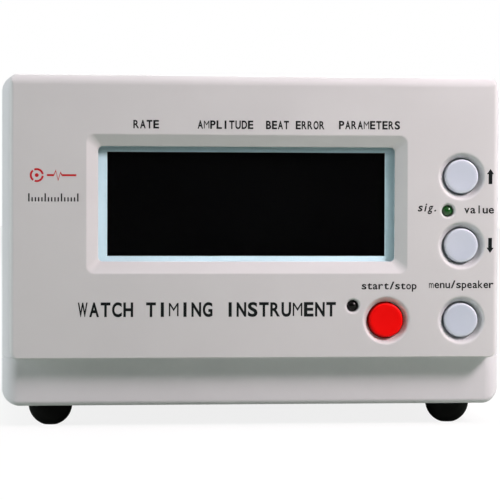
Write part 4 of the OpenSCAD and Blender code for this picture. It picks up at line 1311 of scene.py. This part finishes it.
@dataclass
class DisplayWindow:
    """The clear window in front of the screen, a plate with polished edges."""

    paint: Paintbox
    corner_r: float = 1.2
    edge_r: float = 0.2
    strip_w: float = 1.0

    def build(self) -> bpy.types.Object:
        """Builds the plate and returns it."""
        node = span("display_window")
        front, back = float(node.low[1]), float(node.high[1])
        rings = slab_rings(node.low[[0, 2]], node.high[[0, 2]], (front, back), self.corner_r,
                           (self.strip_w, self.edge_r), 4)
        skin = Skin()
        skin.strip(np.array(rings))
        skin.flat([rings[0][:, [0, 2]]], Facing.FRONT, front)
        skin.flat([rings[-1][:, [0, 2]]], Facing.FRONT, back)
        window = skin.build("clear_window", self.paint["window"])
        return settle(window, CASE_BODY, "window", "display_window")


# ---- Sockets ----

@dataclass
class SensorSocket:
    """The sensor socket's metal shell: a rolled sleeve, a hexagon and a thread."""

    paint: Paintbox
    hex_t: float = 2.0
    sleeve_r: float = 4.15
    sleeve_wall: float = 0.6
    roll_r: float = 0.28
    barrel_r: float = 3.1
    throat_r: float = 2.5
    thread_pitch: float = 0.75
    thread_depth: float = 0.12

    def build(self) -> bpy.types.Object:
        """Builds the shell: one turned profile, with the hexagon as its own ring of six sides."""
        node = span("sensor_socket_shell")
        middle = node.middle[[0, 2]]
        end, start = float(node.high[1]), float(node.low[1])
        seat = float(span("rear_panel").high[1]) + 0.05
        room = seat + self.hex_t + 0.5
        count = int((seat - start) / self.thread_pitch) * 2
        ridge = np.linspace(start + 0.3, seat - 0.3, count)
        groove = self.thread_depth * (np.arange(count) % 2)
        thread = np.stack([self.barrel_r - groove, ridge], axis=1)
        rim = soften(np.array([
            [self.barrel_r, seat + 0.1], [self.sleeve_r, seat + 0.1], [self.sleeve_r, end],
            [self.sleeve_r - self.sleeve_wall, end], [self.sleeve_r - self.sleeve_wall, room],
            [self.throat_r, room], [self.throat_r, start], [self.barrel_r - 0.2, start]]),
            [0, 0, self.roll_r, self.roll_r, 0, 0, 0, 0], 6)
        profile = np.concatenate([thread, rim, thread[:1]])
        skin = Skin()
        skin.turned(profile, middle, Facing.FRONT, 56)
        flats = float(node.size[2]) / 2 * math.cos(math.pi / 6) * 0.995
        turn = np.linspace(0, 2 * math.pi, 72, endpoint=False)
        off = np.abs((turn + math.pi / 6) % (math.pi / 3) - math.pi / 6)
        reach = np.minimum(flats / np.cos(off), flats * 1.13)
        unit = np.stack([np.cos(turn + math.pi / 6), np.sin(turn + math.pi / 6)], axis=1)
        hexagon = soften(np.array([[0.8, seat], [1.0, seat], [1.0, seat + self.hex_t],
                                   [0.8, seat + self.hex_t]]), [0, 0.03, 0.03, 0], 4)
        inner = self.sleeve_r / (reach[:, None])
        rings = [lift(middle + unit * reach[:, None] * share, Facing.FRONT, level)
                 for share, level in hexagon]
        bore = [lift(middle + unit * reach[:, None] * inner, Facing.FRONT, level)
                for level in (seat + self.hex_t, seat)]
        skin.strip(np.array(rings + bore), round_rows=True)
        shell = skin.build("sensor_socket_sleeve", self.paint["nickel"])
        return settle(shell, CASE_BODY, "nickel", "sensor_socket_shell")


@dataclass
class PowerInlet:
    """The power inlet's moulded body, with a round mouth in a flat face."""

    paint: Paintbox
    corner_r: float = 0.9
    edge_r: float = 0.35
    strip_w: float = 0.45
    mouth_r: float = 3.15
    mouth_edge: float = 0.4
    mouth_depth: float = 10.0
    pin_r: float = 0.85
    pin_depth: float = 2.0

    def build(self) -> bpy.types.Object:
        """Builds the body and returns it."""
        node = span("power_inlet_body")
        middle = node.middle[[0, 2]]
        front, back = float(node.low[1]), float(node.high[1])
        rings = slab_rings(node.low[[0, 2]], node.high[[0, 2]], (back, front), self.corner_r,
                           (self.strip_w, self.edge_r))
        bottom = back - self.mouth_depth
        profile = soften(np.array([
            [self.mouth_r + self.strip_w, back], [self.mouth_r, back], [self.mouth_r, bottom],
            [self.pin_r, bottom], [self.pin_r, bottom - self.pin_depth],
            [0, bottom - self.pin_depth]]), [0, self.mouth_edge, 0, 0, 0, 0], 5)
        skin = Skin()
        skin.strip(np.array(rings))
        skin.turned(profile, middle, Facing.FRONT, 56)
        skin.flat([rings[0][:, [0, 2]], circle(middle, profile[0, 0])], Facing.FRONT, back)
        skin.flat([rings[-1][:, [0, 2]]], Facing.FRONT, front)
        body = skin.build("power_inlet_housing", self.paint["black_plastic"])
        return settle(body, CASE_BODY, "black_plastic", "power_inlet_body")


# ---- Lettering ----

class Style(Enum):
    """Slant of a legend's letters."""

    UPRIGHT = 0.0
    ITALIC = 0.22


@dataclass(frozen=True)
class Legend:
    """One printed legend, placed on the panel in millimetres from its middle and lower edge.

    Args:
        name: the piece's name.
        words: what it says.
        left: left end.
        right: right end.
        base: the letters' base line.
        height: height of a capital letter.
        style: upright or italic.
    """

    name: str
    words: str
    left: float
    right: float
    base: float
    height: float
    style: Style = Style.UPRIGHT


@dataclass
class Printing:
    """Everything printed on the panel: function legends, arrows, a plain emblem and a scale."""

    planes: CasePlanes
    paint: Paintbox
    thickness: float = 0.03
    capital_stroke: float = 0.032
    small_stroke: float = 0.018
    crowded_strokes: dict[str, float] = field(default_factory=lambda: {
        "M": 0.0, "m": 0.01, "W": 0.028, "R": 0.024})
    letter_share: float = 0.86
    thin_letters: str = "Iil."
    slots: dict[str, str] = field(default_factory=lambda: {
        "print_black": "black_plastic", "print_red": "cap_red"})
    legends: tuple[Legend, ...] = (
        Legend("legend_rate", "RATE", -32.2, -25.3, 59.9, 2.2),
        Legend("legend_amplitude", "AMPLITUDE", -15.5, -0.7, 59.9, 2.2),
        Legend("legend_beat_error", "BEAT ERROR", 2.4, 18.0, 59.9, 2.2),
        Legend("legend_parameters", "PARAMETERS", 21.6, 38.0, 60.0, 2.2),
        Legend("legend_title", "WATCH TIMING INSTRUMENT", -46.6, 21.3, 11.0, 3.8),
        Legend("legend_start_stop", "start/stop", 27.8, 42.6, 18.0, 2.1),
        Legend("legend_menu_speaker", "menu/speaker", 45.7, 63.2, 18.3, 2.1),
        Legend("legend_signal", "sig.", 42.6, 48.0, 38.5, 2.3, Style.ITALIC),
        Legend("legend_value", "value", 55.0, 63.2, 38.0, 2.2),
    )
    emblem_at: tuple[float, float] = (-57.0, 47.6)
    emblem_r: float = 1.8
    emblem_line: float = 0.52
    hub_r: float = 0.5
    arc_gap: float = 0.16
    scale_at: tuple[float, float] = (-59.2, 40.8)
    tick_count: int = 16
    tick_pitch: float = 0.84
    tick_w: float = 0.36
    long_tick: float = 2.1
    short_tick: float = 1.1
    arrow_beside: float = 7.6
    _glyphs: dict[str, tuple[Array, Array]] = field(default_factory=dict)

    def _glyph(self, letter: str) -> tuple[Array, Array]:
        """Gives a letter's outline as a flat mesh, with a capital's height as its unit.

        Args:
            letter: one character.

        Returns:
            Its points (u, v) and its triangles.
        """
        if letter not in self._glyphs:
            curve = bpy.data.curves.new("letter", "FONT")
            curve.body = letter
            curve.resolution_u = 6
            usual = self.capital_stroke if letter.isupper() else self.small_stroke
            curve.offset = self.crowded_strokes.get(letter, usual)
            holder = bpy.data.objects.new("letter", curve)
            bpy.context.scene.collection.objects.link(holder)
            bpy.context.view_layer.update()
            graph = bpy.context.evaluated_depsgraph_get()
            mesh = bpy.data.meshes.new_from_object(holder.evaluated_get(graph), depsgraph=graph)
            points = np.empty(len(mesh.vertices) * 3)
            mesh.vertices.foreach_get("co", points)
            mesh.calc_loop_triangles()
            triangles = np.empty(len(mesh.loop_triangles) * 3, np.int64)
            mesh.loop_triangles.foreach_get("vertices", triangles)
            self._glyphs[letter] = points.reshape(-1, 3)[:, :2], triangles.reshape(-1, 3)
            bpy.data.objects.remove(holder)
            bpy.data.curves.remove(curve)
            bpy.data.meshes.remove(mesh)
        return self._glyphs[letter]

    def _stamp(self, name: str, points: Array, triangles: Array, slot: str) -> bpy.types.Object:
        """Makes a flat printed shape a thin closed solid on the panel's face.

        Args:
            name: the piece's name.
            points: points (u, v), u from the panel's middle and v from its lower edge.
            triangles: the shape's triangles, facing the front.
            slot: the finish's slot.

        Returns:
            The printed piece.
        """
        flat = points + np.array([0, self.planes.seam_z])
        front = lift(flat, Facing.FRONT, self.planes.face_y - self.thickness / 2)
        back = lift(flat, Facing.FRONT, self.planes.face_y + self.thickness / 2)
        count = len(points)
        sides = np.concatenate([triangles[:, [0, 1]], triangles[:, [1, 2]], triangles[:, [2, 0]]])
        codes = sides.min(1) * count + sides.max(1)
        once = np.isin(codes, np.unique(codes)[np.unique(codes, return_counts=True)[1] == 1])
        rim = sides[once]
        start, end = rim[:, 0], rim[:, 1]
        walls = np.concatenate([np.stack([start, start + count, end], axis=1),
                                np.stack([end, start + count, end + count], axis=1)])
        faces = np.concatenate([triangles, triangles[:, ::-1] + count, walls])
        mesh = bpy.data.meshes.new(name)
        mesh.from_pydata((np.concatenate([front, back]) * MM).tolist(), [], faces.tolist())
        mesh.materials.append(self.paint[slot])
        piece = bpy.data.objects.new(name, mesh)
        bpy.context.scene.collection.objects.link(piece)
        LOG.info("%s: %d faces", name, len(mesh.polygons))
        return settle(piece, CASE_BODY, self.slots[slot])

    def _write(self, legend: Legend) -> bpy.types.Object:
        """Sets a legend in letters of one width, one step apart, and prints it.

        The step is the legend's length over its count of letters. A letter is stretched to its
        share of the step, and leans by its height times the slant.
        """
        step = (legend.right - legend.left) / len(legend.words)
        unit = legend.height / float(np.ptp(self._glyph("H")[0][:, 1]))
        points, triangles, count = [], [], 0
        for place, letter in enumerate(legend.words):
            if letter == " ":
                continue
            shape, faces = self._glyph(letter)
            low, high = shape[:, 0].min(), shape[:, 0].max()
            room = step * self.letter_share
            natural = (high - low) * unit
            width = min(natural, room) if letter in self.thin_letters else room
            u = (shape[:, 0] - (low + high) / 2) * width / max(high - low, 1e-6)
            v = shape[:, 1] * unit
            u = u + legend.left + step * (place + 0.5) + v * legend.style.value
            points.append(np.stack([u, v + legend.base], axis=1))
            triangles.append(faces + count)
            count += len(shape)
        return self._stamp(legend.name, np.concatenate(points), np.concatenate(triangles),
                           "print_black")

    def _polygons(self, name: str, shapes: list[Array], slot: str) -> bpy.types.Object:
        """Prints a set of closed outlines.

        Args:
            name: the piece's name.
            shapes: counter-clockwise outlines of (u, v) points, which don't overlap.
            slot: the finish's slot.

        Returns:
            The printed piece.
        """
        points, triangles, count = [], [], 0
        for shape in shapes:
            ring = [(i, (i + 1) % len(shape)) for i in range(len(shape))]
            found = delaunay_2d_cdt([Vector(p) for p in shape], ring, [], 1, 1e-6)
            corners = np.array([tuple(v) for v in found[0]])
            faces = np.array(found[2])
            keep = inside(corners[faces].mean(axis=1), shape)
            points.append(corners)
            triangles.append(faces[keep] + count)
            count += len(corners)
        return self._stamp(name, np.concatenate(points), np.concatenate(triangles), slot)

    def _arrow(self, name: str, middle: tuple[float, float], up: bool) -> bpy.types.Object:
        """Prints a short thick arrow that points up or down."""
        half, head, shaft = 2.0, 0.95, 0.5
        outline = np.array([[-shaft, -half], [shaft, -half], [shaft, 0.6], [head, 0.6], [0, half],
                            [-head, 0.6], [-shaft, 0.6]])
        if not up:
            outline = -outline
        return self._polygons(name, [outline + middle], "print_black")

    def _emblem(self) -> bpy.types.Object:
        """Prints a plain emblem: a balance wheel's ring and spokes, and a pulse beside it."""
        middle, radius, band = np.array(self.emblem_at), self.emblem_r, self.emblem_line
        turn = np.linspace(0, 2 * math.pi, 49)
        arcs = []
        for part in range(3):
            arc = turn[part * 16:part * 16 + 15] + self.arc_gap
            unit = np.stack([np.cos(arc), np.sin(arc)], axis=1)
            arcs.append(np.concatenate([middle + unit * radius,
                                        middle + unit[::-1] * (radius - band)]))
        hub = circle(middle, self.hub_r, 20)
        pulse = np.array([[-54.4, 0], [-52.6, 0], [-52.1, 1.2], [-51.5, -1.3], [-50.9, 0.7],
                          [-50.5, 0], [-46.8, 0]]) + [0, self.emblem_at[1]]
        trace = np.concatenate([pulse + [0, -band / 2], pulse[::-1] + [0, band / 2]])
        return self._polygons("printed_emblem", [*arcs, hub, trace], "print_red")

    def _scale(self) -> bpy.types.Object:
        """Prints a row of even ticks under the emblem, every fifth one longer."""
        ticks, base = np.arange(self.tick_count), self.scale_at[1]
        left = self.scale_at[0] + ticks * self.tick_pitch
        tall = np.where(ticks % 5 == 0, self.long_tick, self.short_tick)
        shapes = [np.array([[x, base], [x + self.tick_w, base],
                            [x + self.tick_w, base + h], [x, base + h]])
                  for x, h in zip(left, tall)]
        return self._polygons("printed_scale", shapes, "print_black")

    def build(self) -> list[bpy.types.Object]:
        """Prints everything and returns the pieces."""
        pieces = [self._write(legend) for legend in self.legends]
        up, down = span("button_up").middle, span("button_down").middle
        for name, key, is_up in (("arrow_up", up, True), ("arrow_down", down, False)):
            place = (float(key[0]) + self.arrow_beside, float(key[2]) - self.planes.seam_z)
            pieces.append(self._arrow(name, place, is_up))
        return [*pieces, self._emblem(), self._scale()]


# ---- Studio ----

@dataclass
class Lamp:
    """An area light that looks at a point, in metres and watts."""

    name: str
    place: tuple[float, float, float]
    size: float
    power: float
    colour: tuple[float, float, float] = (1.0, 1.0, 1.0)

    def hang(self, target: Vector) -> None:
        """Hangs the light and turns it to the target."""
        data = bpy.data.lights.new(self.name, "AREA")
        data.shape = "DISK"
        data.size = self.size
        data.energy = self.power
        data.color = self.colour
        lamp = bpy.data.objects.new(self.name, data)
        lamp.location = self.place
        lamp.rotation_euler = (target - Vector(self.place)).to_track_quat("-Z", "Y").to_euler()
        bpy.context.scene.collection.objects.link(lamp)


@dataclass
class Studio:
    """Floor, sky, lights and camera."""

    planes: CasePlanes
    camera_place: tuple[float, float, float] = (-58.5, -563.2, 61.2)
    yaw: float = 5.77
    pitch: float = 1.49
    roll: float = 0.18
    lens: float = 156.2
    floor_r: float = 2.2
    floor_back: float = 1.2
    floor_drop: float = 0.00005
    glow: float = 0.85
    bounce: tuple[float, float, float] = (0.36, 0.42, 0.37)
    lamps: tuple[Lamp, ...] = (
        Lamp("key_light", (0.34, -0.31, 0.33), 0.15, 2.45, (1.0, 0.87, 0.905)),
        Lamp("top_light", (0.1, -0.3, 1.3), 0.8, 3.0, (1.0, 0.96, 0.98)),
        Lamp("left_light", (-1.0, -0.2, 0.3), 0.5, 5.4, (0.92, 0.95, 1.0)),
        Lamp("right_light", (1.0, 0.25, 0.35), 0.5, 1.2, (1.0, 0.97, 0.97)),
        Lamp("rear_light", (0.2, 1.1, 0.8), 0.7, 4.0),
    )

    def _floor(self, material: bpy.types.Material) -> None:
        """Lays the floor: a wide disc a hair under the feet."""
        rings = circle(np.array([0.0, self.floor_back]), self.floor_r, 96)
        mesh = bpy.data.meshes.new("studio_floor")
        points = lift(rings, Facing.PLAN, -self.floor_drop)
        mesh.from_pydata(points.tolist(), [], [list(range(len(points)))])
        mesh.materials.append(material)
        floor = bpy.data.objects.new("studio_floor", mesh)
        bpy.context.scene.collection.objects.link(floor)

    def _floor_material(self) -> bpy.types.Material:
        """Builds the floor's plain pale finish, which throws back less light than it shows."""
        material = bpy.data.materials.new("pale_floor")
        material.use_nodes = True
        tree = Tree(material.node_tree)
        matt = tree.add("BsdfDiffuse", values={"Color": (0.94, 0.94, 0.94, 1.0)})
        glow = tree.add("Emission", values={"Color": (1.0, 1.0, 1.0, 1.0)})
        shown = tree.add("MixShader", values={"Fac": self.glow})
        tree.join(matt.outputs[0], shown.inputs[1])
        tree.join(glow.outputs[0], shown.inputs[2])
        thrown = tree.add("BsdfDiffuse", values={"Color": (*self.bounce, 1.0)})
        mixer = tree.add("MixShader")
        tree.join(tree.add("LightPath").outputs["Is Camera Ray"], mixer.inputs["Fac"])
        tree.join(thrown.outputs[0], mixer.inputs[1])
        tree.join(shown.outputs[0], mixer.inputs[2])
        tree.join(mixer.outputs[0], material.node_tree.nodes["Material Output"].inputs["Surface"])
        return material

    def _sky(self) -> None:
        """Builds the sky: pale to look at, soft from above and behind, dark towards the front.

        The light from a direction is mixed by its Y part, eased from the front to the back, so that
        the dark screen has nothing bright to mirror.
        """
        world = bpy.data.worlds.new("studio_sky")
        bpy.context.scene.world = world
        world.use_nodes = True
        tree = Tree(world.node_tree)
        world.node_tree.nodes.clear()
        direction = tree.add("SeparateXYZ")
        tree.join(tree.add("TexCoord").outputs["Generated"], direction.inputs[0])
        back = tree.ease(direction.outputs["Y"], -0.75, 0.6, 0.01, 0.5)
        above = tree.ease(direction.outputs["Z"], 0.1, 0.9, 0.0, 0.18)
        light = tree.add("Background")
        tree.join(tree.maths("ADD", back, above), light.inputs["Strength"])
        light.inputs["Color"].default_value = (0.95, 1.0, 0.96, 1.0)
        seen = tree.add("Background", values={"Color": (1.0, 1.0, 1.0, 1.0), "Strength": 1.0})
        mixer = tree.add("MixShader")
        tree.join(tree.add("LightPath").outputs["Is Camera Ray"], mixer.inputs["Fac"])
        tree.join(light.outputs[0], mixer.inputs[1])
        tree.join(seen.outputs[0], mixer.inputs[2])
        output = tree.add("OutputWorld")
        tree.join(mixer.outputs[0], output.inputs["Surface"])

    def _camera(self) -> None:
        """Sets the camera up: level with the panel, to its left, turned a little to the right."""
        data = bpy.data.cameras.new("camera")
        data.lens = self.lens
        data.clip_start = 0.01
        camera = bpy.data.objects.new("camera", data)
        x, y, z = self.camera_place
        turn = (Matrix.Rotation(math.radians(-self.yaw), 4, "Z")
                @ Matrix.Rotation(math.radians(90 - self.pitch), 4, "X")
                @ Matrix.Rotation(math.radians(self.roll), 4, "Z"))
        camera.matrix_world = Matrix.Translation(
            Vector((x, y + self.planes.face_y, z)) * MM) @ turn
        bpy.context.scene.collection.objects.link(camera)
        bpy.context.scene.camera = camera

    def build(self) -> None:
        """Builds the studio."""
        self._floor(self._floor_material())
        self._sky()
        target = Vector((0, 0, (self.planes.base_z + self.planes.top_z) / 2 * MM))
        for lamp in self.lamps:
            lamp.hang(target)
        self._camera()
        view = bpy.context.scene.view_settings
        view.view_transform = "Standard"
        view.look = "None"


def main() -> None:
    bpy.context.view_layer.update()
    planes = CasePlanes.read()
    paint = Paintbox()
    paint.dress(frame["nodes"])
    Studio(planes).build()
    FrontPanel(planes, paint).build()
    TopCover(planes, paint).build()
    BottomTray(planes, paint).build()
    RearPanel(paint).build()
    Feet(planes, paint).build()
    KeyCaps(paint).build()
    Lamps(paint).build()
    DisplayWindow(paint).build()
    SensorSocket(paint).build()
    PowerInlet(paint).build()
    Printing(planes, paint).build()


if __name__ == "__main__":
    main()
